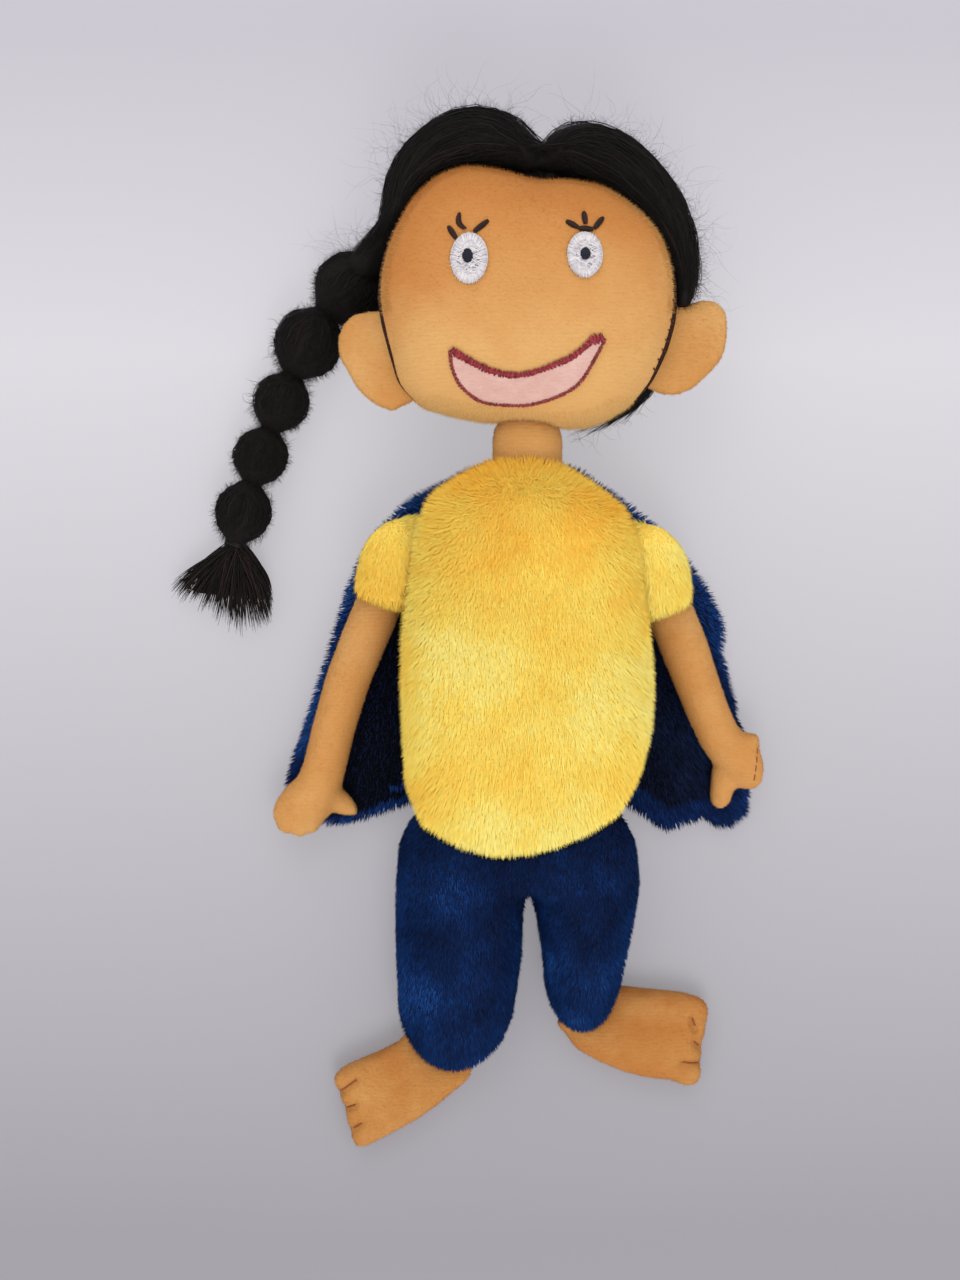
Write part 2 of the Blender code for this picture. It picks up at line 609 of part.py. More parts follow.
def build_neck():
    half_width, half_depth = NECK_WIDTH / 2, NECK_DEPTH / 2
    length = NECK_PIVOT.y + half_width - (NECK_SEAM_Y - half_width)
    route = [(BODY_X, NECK_SEAM_Y - half_width), (BODY_X, NECK_PIVOT.y + half_width)]
    levels = [NECK_PIVOT.z] * 2

    def neck_mesh(inset):
        caps = (half_width / length / 2, half_width / length)
        return limb_mesh(route, [half_width] * 2, [half_depth] * 2, inset, caps, levels, around=16, rings=14)

    nod = joint("neck_nod", (BODY_X, NECK_SEAM_Y, NECK_PIVOT.z + half_depth), None)
    seam_cut = cutter("neck_base", beyond_mesh((BODY_X, NECK_SEAM_Y + SEAM_GAP), (0, -1)))
    carry(nod, *stuffed("neck", neck_mesh, materials["velour"], (seam_cut,)))
    return nod


def build_head(nod):
    tilt = joint("head_tilt", NECK_PIVOT, nod)
    half = Vector((NECK_WIDTH, NECK_WIDTH, NECK_DEPTH)) / 2 + Vector((SEAM_GAP, SEAM_GAP, SEAM_GAP)) * 2
    socket = cutter("neck_socket", spheroid_mesh(NECK_PIVOT, half))
    looks = (materials["velour"], materials["brown_cloth"])
    names = ("face_panel", "head_back_panel", "head_stuffing")
    seam_z = HEAD_CENTRE.z + HEAD_SEAM_RISE
    carry(tilt, *two_panels(*names, head_mesh, looks, seam_z, (socket,)))
    return tilt


def on_face(name, outline, lift, thickness, look, hole=None):
    """A patch of even thickness that lies on the face."""
    top = HEAD_CENTRE.z + HEAD_DEPTH
    patch = piece(name, prism_mesh(outline, HEAD_CENTRE.z, top), look)
    shape_by(patch, cutter(name + "_top", head_mesh(-lift - thickness)), operation="INTERSECT")
    shape_by(patch, cutter(name + "_under", head_mesh(-lift)))
    if hole is not None:
        shape_by(patch, cutter(name + "_hole", prism_mesh(hole, HEAD_CENTRE.z, top)))
    return patch


def build_face(tilt):
    for name, x_share, y_share in (("left", -0.382, 0.163), ("right", 0.353, 0.188)):
        centre = head_place(x_share, y_share)
        wide, high = EYE_SIZE_SHARES[name]
        oval_half = Vector((wide * EYE_WIDTH, high * EYE_HEIGHT)) / 2
        oval = smooth_outline(centre, oval_half, rounded_shares(2), count=20)
        white = on_face(f"eye_white_{name}", oval, SEAM_GAP, PATCH_THICKNESS, materials["eye_white"])
        dot_half = Vector((wide * PUPIL_WIDTH, high * PUPIL_HEIGHT)) / 2
        dot = smooth_outline(centre, dot_half, rounded_shares(2), count=12)
        lift = 2 * SEAM_GAP + PATCH_THICKNESS
        pupil = on_face(f"pupil_{name}", dot, lift, PATCH_THICKNESS, materials["pupil"])
        carry(tilt, white, pupil)
    centre = head_place(-0.007, -0.626)
    half = Vector((MOUTH_WIDTH, MOUTH_HEIGHT)) / 2
    inner = smooth_outline(centre, half, MOUTH_OUTLINE_SHARES)
    lip_inner = smooth_outline(centre, half, MOUTH_OUTLINE_SHARES, grow=SEAM_GAP)
    lip_outer = smooth_outline(centre, half, MOUTH_OUTLINE_SHARES, grow=SEAM_GAP + LIP_WIDTH)
    mouth = on_face("mouth_patch", inner, SEAM_GAP, PATCH_THICKNESS, materials["mouth_pink"])
    lips = on_face("lip_line", lip_outer, SEAM_GAP, LIP_THICKNESS, materials["lip_maroon"], lip_inner)
    carry(tilt, mouth, lips)


def ear_mesh(centre, half, outline):
    return pillow_mesh(centre, half, outline, around=18, rings=8, fullness=0.7)


def build_ears(tilt):
    head_clear = cutter("head_by_ears", head_mesh(-SEAM_GAP))
    half = Vector((EAR_WIDTH, EAR_LENGTH, EAR_DEPTH)) / 2
    for name, outline, x_share, y_share, hinge_x_share in (
        ("left", LEFT_EAR_SHARES, -0.987, -0.486, -0.985),
        ("right", RIGHT_EAR_SHARES, 1.076, -0.405, 1.0),
    ):
        centre = head_place(x_share, y_share)

        hinge = head_place(hinge_x_share, y_share)
        fold = joint(f"ear_fold_{name}", (hinge.x, hinge.y, centre.z + half.z), tilt)
        under = cutter(f"ear_seam_front_{name}", below_mesh(centre.z + SEAM_GAP / 2))
        over = cutter(f"ear_seam_back_{name}", box_mesh(
            (-CUT_REACH, -CUT_REACH, centre.z - SEAM_GAP / 2), (CUT_REACH, CUT_REACH, centre.z + CUT_REACH)
        ))
        front = piece(f"ear_front_{name}", ear_mesh(centre, half, outline), materials["velour"])
        back = piece(f"ear_back_{name}", ear_mesh(centre, half, outline), materials["velour"])
        shape_by(front, head_clear, under)
        shape_by(back, head_clear, over)
        carry(fold, front, back)


def braid_knots():
    """The braid's root and its ties, all at one level."""
    root = head_place(-1.0, 0.32)
    root.z = BRAID_DEPTH / 2 * min(BRAID_WIDTH_SHARES) - REST_FLAT_DEPTH
    return [root + Vector((x * BRAID_LENGTH, y * BRAID_LENGTH, 0)) for x, y in BRAID_ROUTE_SHARES]


def build_hair(tilt):
    head_clear = cutter("head_by_hair", head_mesh(-SEAM_GAP))
    wide, high = HAIR_BACK_SHARES
    half = Vector((wide * HEAD_HALF.x, high * HEAD_HALF.y, HAIR_BACK_DEPTH / 2))
    centre = head_place(0.0, 0.12)
    centre.z = half.z - REST_FLAT_DEPTH
    back_mesh = pillow_mesh(centre, half, rounded_shares(2.2), around=20, rings=8)
    back = piece("hair_back", back_mesh, materials["mohair"])
    root, first_tie = braid_knots()[:2]
    run, radius = (first_tie - root).normalized(), BRAID_TIE_WIDTH / 2
    ball_end = cutter("braid_root_ball", spheroid_mesh(root, (radius, radius, radius), around=10, rings=6))
    route = [(root - run * BRAID_ROOT_LENGTH)[:2], root[:2]]
    stem_half = [radius * BRAID_ROOT_WIDTH_SHARE] * 2
    stem_mesh = limb_mesh(route, stem_half, stem_half, levels=[root.z] * 2, around=10, rings=8)
    stem = cutter("braid_root_stem", stem_mesh)
    shape_by(back, ball_end, stem, operation="UNION")
    rest_cut = cutter("hair_rest", below_mesh(0.0))
    shape_by(back, head_clear, rest_cut)
    carry(tilt, back)
    clear_back = cutter("hair_back_by_rolls", pillow_mesh(
        centre, half, rounded_shares(2.2), -SEAM_GAP, around=20, rings=8
    ))
    for name, shares in (("left", LEFT_ROLL_ROUTE_SHARES), ("right", RIGHT_ROLL_ROUTE_SHARES)):
        route = [head_place(x, y)[:2] for x, y in shares]
        half_widths = [share * HAIR_ROLL_WIDTH / 2 for share in ROLL_WIDTH_SHARES]
        half_depths = [share * HAIR_ROLL_DEPTH / 2 for share in ROLL_DEPTH_SHARES]
        levels = [HEAD_CENTRE.z] * 2
        roll = piece(
            f"hair_roll_{name}",
            limb_mesh(route, half_widths, half_depths, 0.0, (0.08, 0.15), levels, around=14, rings=14),
            materials["mohair"],
        )
        shape_by(roll, head_clear, clear_back)
        carry(tilt, roll)


def build_braid(tilt):
    knots = braid_knots()
    rest_cut = cutter("braid_rest", below_mesh(0.0))
    socket_half = Vector((1, 1, 1)) * (BRAID_TIE_WIDTH / 2 + SEAM_GAP)
    upper_socket = cutter("braid_socket_0", spheroid_mesh(knots[0], socket_half, around=10, rings=6))
    parent = tilt
    for number, (start, end) in enumerate(zip(knots, knots[1:]), 1):
        swing = joint(f"braid_swing_{number}", start, parent)
        run = (end - start).normalized()
        width = BRAID_WIDTH_SHARES[number - 1] * BRAID_WIDTH / 2
        depth = BRAID_WIDTH_SHARES[number - 1] * BRAID_DEPTH / 2
        route = [(start + run * BRAID_TIE_GAP)[:2], (end - run * BRAID_TIE_GAP)[:2]]
        sizes = ([width] * 2, [depth] * 2)
        mesh = limb_mesh(route, *sizes, 0.0, (0.5, 0.5), -REST_FLAT_DEPTH, 12, 10, roundness=2.6)
        lobe = piece(f"braid_lobe_{number}", mesh, materials["mohair"])
        lower_socket = cutter(f"braid_socket_{number}", spheroid_mesh(end, socket_half, around=10, rings=6))
        shape_by(lobe, upper_socket, lower_socket, rest_cut)
        tie_half = Vector((1, 1, 1)) * (BRAID_TIE_WIDTH / 2)
        tie = piece(f"braid_tie_{number}", spheroid_mesh(end, tie_half, around=10, rings=6), materials["tie"])
        shape_by(tie, rest_cut)
        carry(swing, lobe, tie)
        parent, upper_socket = swing, lower_socket
    build_tassel(knots[-1], run, parent, upper_socket, rest_cut)


def build_tassel(knot, run, parent, socket, rest_cut):
    swing = joint("braid_swing_6", knot, parent)
    route = [(knot + run * (BRAID_TIE_GAP + share * TASSEL_LENGTH))[:2] for share in (0, 0.33, 0.66, 1)]
    half_widths = [share * TASSEL_WIDTH / 2 for share in TASSEL_WIDTH_SHARES]
    half_depths = [share * TASSEL_DEPTH / 2 for share in TASSEL_DEPTH_SHARES]
    sizes = (half_widths, half_depths)
    mesh = limb_mesh(route, *sizes, 0.0, (0.12, 0.08), -REST_FLAT_DEPTH, around=16, rings=10)
    tassel = piece("braid_tassel", mesh, materials["mohair"])
    shape_by(tassel, socket, rest_cut)
    carry(swing, tassel)


for old in list(bpy.data.objects):
    bpy.data.objects.remove(old, do_unlink=True)

doll = new_collection("rag_doll")
cutters = new_collection("cutters")
materials = {
    "velour": material("velour", (0.67, 0.35, 0.09)),
    "brown_cloth": material("brown_cloth", (0.045, 0.022, 0.015)),
    "yellow_plush": material("yellow_plush", (0.93, 0.61, 0.06)),
    "blue_plush": material("blue_plush", (0.006, 0.023, 0.114)),
    "lining": material("lining", (0.004, 0.009, 0.035)),
    "mohair": material("mohair", (0.011, 0.008, 0.008)),
    "tie": material("tie", (0.02, 0.01, 0.01), 0.6),
    "eye_white": material("eye_white", (0.75, 0.75, 0.80), 0.6),
    "pupil": material("pupil", (0.007, 0.008, 0.014), 0.5),
    "mouth_pink": material("mouth_pink", (0.78, 0.48, 0.46)),
    "lip_maroon": material("lip_maroon", (0.30, 0.02, 0.04), 0.5),
    "stuffing": material("stuffing", (0.85, 0.84, 0.82)),
}

build_cape()
build_body()
build_seat()
for which_side in (LEFT, RIGHT):
    build_leg(which_side)
    build_arm(which_side)
neck = build_neck()
head = build_head(neck)
build_face(head)
build_ears(head)
build_hair(head)
build_braid(head)
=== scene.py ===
import contextlib
import math
import random

import bmesh
import bpy
import numpy as np
from mathutils import Matrix, Vector
from mathutils.bvhtree import BVHTree


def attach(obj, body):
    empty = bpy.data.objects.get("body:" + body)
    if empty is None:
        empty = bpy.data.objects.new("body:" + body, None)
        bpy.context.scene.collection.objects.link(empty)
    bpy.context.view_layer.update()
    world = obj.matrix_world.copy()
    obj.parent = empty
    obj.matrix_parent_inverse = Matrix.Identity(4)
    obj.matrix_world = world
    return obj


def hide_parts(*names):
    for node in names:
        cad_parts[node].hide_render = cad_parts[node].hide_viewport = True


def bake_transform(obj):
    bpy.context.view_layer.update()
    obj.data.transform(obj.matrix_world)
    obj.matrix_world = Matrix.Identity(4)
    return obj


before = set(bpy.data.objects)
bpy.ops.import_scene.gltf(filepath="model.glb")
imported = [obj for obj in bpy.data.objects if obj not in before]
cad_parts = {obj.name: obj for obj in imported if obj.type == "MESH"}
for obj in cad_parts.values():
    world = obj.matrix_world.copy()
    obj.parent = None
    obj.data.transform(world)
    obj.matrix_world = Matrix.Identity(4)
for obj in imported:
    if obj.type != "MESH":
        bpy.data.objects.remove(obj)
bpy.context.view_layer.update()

collection = bpy.context.scene.collection
scene = bpy.context.scene

# Camera, straight down on the doll that lies on its back

camera = {"place": (-0.0137, 0.0828, 0.665), "lens": 50}

lens = bpy.data.cameras.new("camera")
lens.lens = camera["lens"]
viewer = bpy.data.objects.new("camera", lens)
viewer.location = camera["place"]
collection.objects.link(viewer)
scene.camera = viewer


def seen(px, py, z=0.0):
    # the point at height z that shows at this place of the 960 by 1280 picture
    x0, y0, height = camera["place"]
    reach = (height - z) / (camera["lens"] / 36 * 1280)
    return Vector((x0 + (px - 480) * reach, y0 - (py - 640) * reach, z))


# Nodes and shader maths

class Socket:
    def __init__(self, tree, out):
        self.tree, self.out = tree, out

    def maths(self, operation, first, second):
        return node(self.tree, "ShaderNodeMath", {"operation": operation}, {0: first, 1: second})

    def __add__(self, other):
        return self.maths("ADD", self, other)

    def __radd__(self, other):
        return self.maths("ADD", other, self)

    def __sub__(self, other):
        return self.maths("SUBTRACT", self, other)

    def __rsub__(self, other):
        return self.maths("SUBTRACT", other, self)

    def __mul__(self, other):
        return self.maths("MULTIPLY", self, other)

    def __rmul__(self, other):
        return self.maths("MULTIPLY", other, self)

    def __pow__(self, other):
        return self.maths("POWER", self, other)


def node(tree, kind, settings=None, sockets=None, out=0):
    made = tree.nodes.new(kind)
    for name, value in (settings or {}).items():
        if name != "stops":
            setattr(made, name, value)
            continue
        ramp = made.color_ramp.elements
        while len(ramp) < len(value):
            ramp.new(0.5)
        for stop, (place, colour) in zip(ramp, value):
            stop.position, stop.color = place, (*colour, 1)
    for name, value in (sockets or {}).items():
        if isinstance(value, Socket):
            tree.links.new(value.out, made.inputs[name])
        else:
            made.inputs[name].default_value = value
    return Socket(tree, made.outputs[out])


def colour(red, green, blue):
    # a colour as it is seen, 0 to 255, in the linear light that the shader takes
    return tuple(((v / 255 + 0.055) / 1.055) ** 2.4 if v > 10 else v / 255 / 12.92 for v in (red, green, blue))


def mixed(tree, share, first, second):
    first, second = [v if isinstance(v, Socket) else (*v, 1) for v in (first, second)]
    return node(tree, "ShaderNodeMix", {"data_type": "RGBA"}, {0: share, 6: first, 7: second}, 2)


def noise(tree, where, size, detail=2.0, roughness=0.5):
    # size is the width of the blotches in metres
    return node(tree, "ShaderNodeTexNoise", {}, {"Vector": where, "Scale": 0.6 / size, "Detail": detail,
                                                 "Roughness": roughness})


def waves(tree, where, way, width, distortion, detail, scale=1.0):
    # rows of thread, each of this width in metres
    return node(tree, "ShaderNodeTexWave", {"bands_direction": way},
                {"Vector": where, "Scale": 0.31 / width, "Distortion": distortion, "Detail": detail,
                 "Detail Scale": scale})


def between(tree, value, low, high):
    # 0 up to low, 1 from high on
    return node(tree, "ShaderNodeMapRange", {"clamp": True}, {0: value, 1: low, 2: high})


def vector(tree, operation, first, second=(0, 0, 0), out=0):
    # SCALE takes a number as its second
    return node(tree, "ShaderNodeVectorMath", {"operation": operation},
                {0: first, "Scale" if operation == "SCALE" else 1: second}, out)


def onward(tree, where, point, way):
    # how far a place lies along this way from this point
    return vector(tree, "DOT_PRODUCT", vector(tree, "SUBTRACT", where, point), way, 1)


def bumped(tree, strength, distance, height):
    return node(tree, "ShaderNodeBump", {}, {"Strength": strength, "Distance": distance, "Height": height})


def surface(name, **sockets):
    # a new material with these settings on its shader, and its node tree
    made = bpy.data.materials.new(name)
    made.use_nodes = True
    shader = made.node_tree.nodes["Principled BSDF"]
    shader.name = "finish"
    for key, value in sockets.items():
        shader.inputs[key.replace("_", " ")].default_value = (*value, 1) if isinstance(value, tuple) else value
    return made, made.node_tree


def finish(tree, **links):
    shader = tree.nodes["finish"]
    for key, value in links.items():
        tree.links.new(value.out, shader.inputs[key.replace("_", " ")])


def plain(name, tone, roughness, sheen=0.0, shine=0.25):
    return surface(name, Base_Color=colour(*tone), Roughness=roughness, Sheen_Weight=sheen, Sheen_Roughness=0.5,
                   Sheen_Tint=colour(*tone), Specular_IOR_Level=shine)[0]


def shaded(name, tones, *look):
    # one plain material for each tone of a thread or pile
    return [plain(f"{name}_{n}", tone, *look) for n, tone in enumerate(tones)]


# where the noise turns warm and pale, how pale, the shade of the hollows and how far fibre and rows show it
knit = {"warm": (0.38, 0.66), "pale": (0.45, 0.75), "paleness": 0.6, "dark": 0.72, "fibre": 0.22, "rows": 0.1}


def napped(name, tone, warm, light, blotch, grain, ribs, height, sheen, drift=None):
    # short-napped cloth: broad warm and light patches, fine fibre, and rows where the knit shows through
    made, tree = surface(name, Sheen_Weight=sheen, Sheen_Roughness=0.45, Sheen_Tint=colour(*light),
                         Specular_IOR_Level=0.25)
    where = node(tree, "ShaderNodeTexCoord", out="Object")
    warmth, paleness = noise(tree, where, blotch, 3), noise(tree, where, blotch * 0.45, 4)
    if drift:
        # painted light and shade: the cloth is painted paler and less warm along this way from this point, as if more
        # light falls there
        place = onward(tree, where, *drift)
        warmth, paleness = warmth - place, paleness + place
    fibre = noise(tree, where, grain, 4, 0.65)
    rows = waves(tree, where, "Y", ribs, 5.0, 3.0, 1.6)
    cloth = mixed(tree, between(tree, warmth, *knit["warm"]), colour(*tone), colour(*warm))
    cloth = mixed(tree, between(tree, paleness, *knit["pale"]) * knit["paleness"], cloth, colour(*light))
    dark = tuple(v * knit["dark"] for v in colour(*tone))
    cloth = mixed(tree, (1 - fibre) * knit["fibre"], cloth, dark)
    cloth = mixed(tree, (1 - rows) * knit["rows"], cloth, dark)
    bump = bumped(tree, 0.55, height, fibre * 0.75 + rows * 0.25)
    finish(tree, Base_Color=cloth, Roughness=0.82 + fibre * 0.15, Normal=bump)
    return made


def woven(name, tone, light, thread, height):
    # plain cloth under a pile or at the back of the head: crossing threads with uneven colour
    made, tree = surface(name, Sheen_Weight=0.0, Sheen_Roughness=0.5, Specular_IOR_Level=0.2)
    where = node(tree, "ShaderNodeTexCoord", out="Object")
    weave = waves(tree, where, "X", thread, 1.5, 2.0) * waves(tree, where, "Y", thread, 1.5, 2.0)
    uneven = noise(tree, where, 0.012, 4, 0.6)
    tones = mixed(tree, weave * 0.6 + uneven * 0.4, colour(*tone), colour(*light))
    finish(tree, Base_Color=tones, Roughness=0.85 + uneven * 0.12, Normal=bumped(tree, 0.5, height, weave))
    return made


def fibrous(name, tone, edge, height):
    # the mass of hair that shows between the strands
    made, tree = surface(name, Sheen_Weight=0.0, Specular_IOR_Level=0.15)
    where = node(tree, "ShaderNodeTexCoord", out="Object")
    clumps = noise(tree, where, 0.004, 5, 0.7)
    fine = noise(tree, where, 0.0006, 3, 0.6)
    tones = mixed(tree, clumps * 0.6 + fine * 0.3, colour(*tone), colour(*edge))
    bump = bumped(tree, 0.7, height, clumps * 0.6 + fine * 0.4)
    finish(tree, Base_Color=tones, Roughness=0.55 + fine * 0.3, Normal=bump)
    return made


# Mesh tools

def dressed(obj, *materials):
    obj.data.materials.clear()
    for material in materials:
        obj.data.materials.append(material)
    return obj


def shown(name, mesh, *materials):
    made = bpy.data.objects.new(name, mesh)
    collection.objects.link(made)
    return dressed(made, *materials)


def written(name, bm, *materials):
    # a new piece from a bmesh
    mesh = bpy.data.meshes.new(name)
    bm.to_mesh(mesh)
    bm.free()
    return shown(name, mesh, *materials)


@contextlib.contextmanager
def opened(mesh):
    # the mesh as a bmesh, which goes back into it at the end
    bm = bmesh.new()
    bm.from_mesh(mesh)
    yield bm
    bm.to_mesh(mesh)
    bm.free()


def settled(obj):
    # the mesh with its modifiers applied
    graph = bpy.context.evaluated_depsgraph_get()
    graph.update()
    mesh = bpy.data.meshes.new_from_object(obj.evaluated_get(graph), depsgraph=graph)
    obj.modifiers.clear()
    obj.data = mesh
    return obj


def modified(obj, kind, **settings):
    modifier = obj.modifiers.new(kind.lower(), kind)
    for key, value in settings.items():
        setattr(modifier, key, value)
    return obj


def joined(objects):
    # all of them as one, which keeps the first one's name
    if len(objects) > 1:
        with bpy.context.temp_override(active_object=objects[0], selected_editable_objects=objects):
            bpy.ops.object.join()
    return objects[0]


def remeshed(obj, voxel):
    return settled(modified(obj, "REMESH", mode="VOXEL", voxel_size=voxel))


def eased(bm, rounds):
    for _ in range(rounds):
        bmesh.ops.smooth_vert(bm, verts=bm.verts, factor=0.5, use_axis_x=True, use_axis_y=True, use_axis_z=True)


def skinned(name, nodes, voxel, inset, rounds):
    # one closed skin round these CAD nodes, drawn in by inset to leave room for a pile
    bm = bmesh.new()
    for each in nodes:
        bm.from_mesh(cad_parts[each].data)
    bmesh.ops.remove_doubles(bm, verts=bm.verts, dist=0.00002)
    skin = remeshed(written(name, bm), voxel)
    with opened(skin.data) as bm:
        keepLargest(bm)
        eased(bm, rounds)
        bm.normal_update()
        for v, way in zip(bm.verts, [v.normal.copy() for v in bm.verts]):
            v.co -= way * inset
    return skin


def keepLargest(bm):
    left, islands = set(bm.verts), []
    while left:
        start = left.pop()
        island, edge = {start}, [start]
        while edge:
            for link in edge.pop().link_edges:
                for v in link.verts:
                    if v in left:
                        left.discard(v)
                        island.add(v)
                        edge.append(v)
        islands.append(island)
    islands.sort(key=len)
    for island in islands[:-1]:
        bmesh.ops.delete(bm, geom=list(island), context="VERTS")


def drawn(obj, pulls, height, width):
    # the outline near each first place in the picture goes to the second
    for start, end in pulls:
        start, end = seen(*start, height), seen(*end, height)
        for v in obj.data.vertices:
            v.co += (end - start) * math.exp(-((v.co.xy - start.xy).length / width) ** 2)


def puffed(skins, cap, frames=20):
    # the stuffing presses each skin outwards, as cloth under pressure, and no point moves further than cap
    for skin in skins:
        cloth = skin.modifiers.new("cloth", "CLOTH")
        cloth.settings.use_pressure = True
        cloth.settings.uniform_pressure_force = 4.0
        cloth.settings.effector_weights.gravity = 0.0
        cloth.settings.mass = 0.2
        cloth.settings.quality = 4
        cloth.collision_settings.use_collision = False
        cloth.point_cache.frame_end = frames
    for step in range(1, frames + 1):
        scene.frame_set(step)
    graph = bpy.context.evaluated_depsgraph_get()
    for skin in skins:
        rest = np.array([v.co for v in skin.data.vertices])
        moved = np.array([v.co for v in skin.evaluated_get(graph).data.vertices])
        shift = moved - rest
        length = np.linalg.norm(shift, axis=1, keepdims=True)
        shift *= np.minimum(1.0, cap / np.maximum(length, 1e-9))
        skin.modifiers.clear()
        skin.data.vertices.foreach_set("co", (rest + shift).ravel())
        skin.data.update()
    scene.frame_set(1)


def cutTo(obj, name, planes):
    # a copy of obj on the front side of each plane, (point, direction), closed where it was cut
    bm = bmesh.new()
    bm.from_mesh(obj.data)
    for point, way in planes:
        geometry = bm.verts[:] + bm.edges[:] + bm.faces[:]
        bmesh.ops.bisect_plane(bm, geom=geometry, dist=1e-6, plane_co=point, plane_no=way, clear_inner=True)
        bmesh.ops.holes_fill(bm, edges=[e for e in bm.edges if e.is_boundary], sides=0)
    bmesh.ops.triangulate(bm, faces=[f for f in bm.faces if len(f.verts) > 4])
    return written(name, bm)


def onCut(f, axis, place):
    # whether a face lies in the flat cut straight across this axis
    return all(abs(v.co[axis] - place) < 1e-5 for v in f.verts)


def without(mesh, test):
    # the mesh without the faces that pass the test
    with opened(mesh) as bm:
        bmesh.ops.delete(bm, geom=[f for f in bm.faces if test(f)], context="FACES")
    return mesh


def smooth(obj):
    settled(modified(obj, "SUBSURF", levels=1, render_levels=1))
    obj.data.shade_smooth()
    return obj


def numbers(data, key):
    # the three numbers of each item, as the rows of an array
    values = np.zeros(len(data) * 3, np.float32)
    data.foreach_get(key, values)
    return values.reshape(-1, 3)


def clamped(value):
    return min(max(value, 0.0), 1.0)


def tree(obj):
    return BVHTree.FromObject(obj, bpy.context.evaluated_depsgraph_get())


def onTop(bvh, x, y, lift=0.0):
    # the place on a skin straight below (x, y), and the way it faces
    place, facing, _, _ = bvh.ray_cast(Vector((x, y, 0.2)), Vector((0, 0, -1)))
    if place is None:
        place, facing, _, _ = bvh.find_nearest(Vector((x, y, 0.04)))
    return place + facing * lift, facing


# Threads and strands: each a tapered tube along its own route

def tube(name, half, roundness):
    # an empty curve, whose splines become round tubes
    curve = bpy.data.curves.new(name, "CURVE")
    curve.dimensions = "3D"
    curve.bevel_depth = half
    curve.bevel_resolution = roundness
    curve.use_fill_caps = True
    return curve


def meshed(name, curve, *materials):
    holder = bpy.data.objects.new(name, curve)
    collection.objects.link(holder)
    graph = bpy.context.evaluated_depsgraph_get()
    mesh = bpy.data.meshes.new_from_object(holder.evaluated_get(graph), depsgraph=graph)
    bpy.data.objects.remove(holder)
    return shown(name, mesh, *materials)


def strands(name, routes, materials, thickness, roundness=0):
    # routes are (points, shade, share of the thickness, share of it that is left at the tip)
    parts = []
    for shade, material in enumerate(materials):
        curve = tube(name, thickness, roundness)
        for points, which, width, tip in routes:
            if which % len(materials) != shade:
                continue
            spline = curve.splines.new("POLY")
            last = len(points) - 1
            spline.points.add(last)
            for n, place in enumerate(points):
                share = n / last
                ends = min(1.0, 0.45 + 4 * share) * min(1.0, tip + (1 - tip) * (1 - share) * 2.5)
                spline.points[n].co = (*place, 1.0)
                spline.points[n].radius = width * ends
        if curve.splines:
            parts.append(meshed(name, curve, material))
    made = joined(parts)
    made.name = name
    made.data.shade_smooth()
    return made


# Pile: short tufts scattered over a skin

def raised(bm, faces):
    # extrudes the faces in place, and gives the corners of the new ones
    made = bmesh.ops.extrude_face_region(bm, geom=faces)["geom"]
    return [v for v in made if isinstance(v, bmesh.types.BMVert)]


def tuft(name, material, bend):
    # a three-sided spike, one high, whose upper part leans over where it bends
    bm = bmesh.new()
    bmesh.ops.create_circle(bm, cap_ends=True, segments=3, radius=0.5)
    verts = raised(bm, bm.faces[:])
    if bend:
        bmesh.ops.translate(bm, verts=verts, vec=(0, bend * 0.35, 0.55))
        bmesh.ops.scale(bm, verts=verts, vec=(0.8, 0.8, 1.0), space=Matrix.Translation((0, -bend * 0.35, 0)))
        verts = raised(bm, [f for f in bm.faces if all(v in verts for v in f.verts)])
        bmesh.ops.translate(bm, verts=verts, vec=(0, bend * 0.65, 0.45))
    else:
        bmesh.ops.translate(bm, verts=verts, vec=(0, 0, 1))
    bmesh.ops.pointmerge(bm, verts=verts, merge_co=sum((v.co for v in verts), Vector()) / len(verts))
    bmesh.ops.recalc_face_normals(bm, faces=bm.faces)
    return written(name, bm, material)


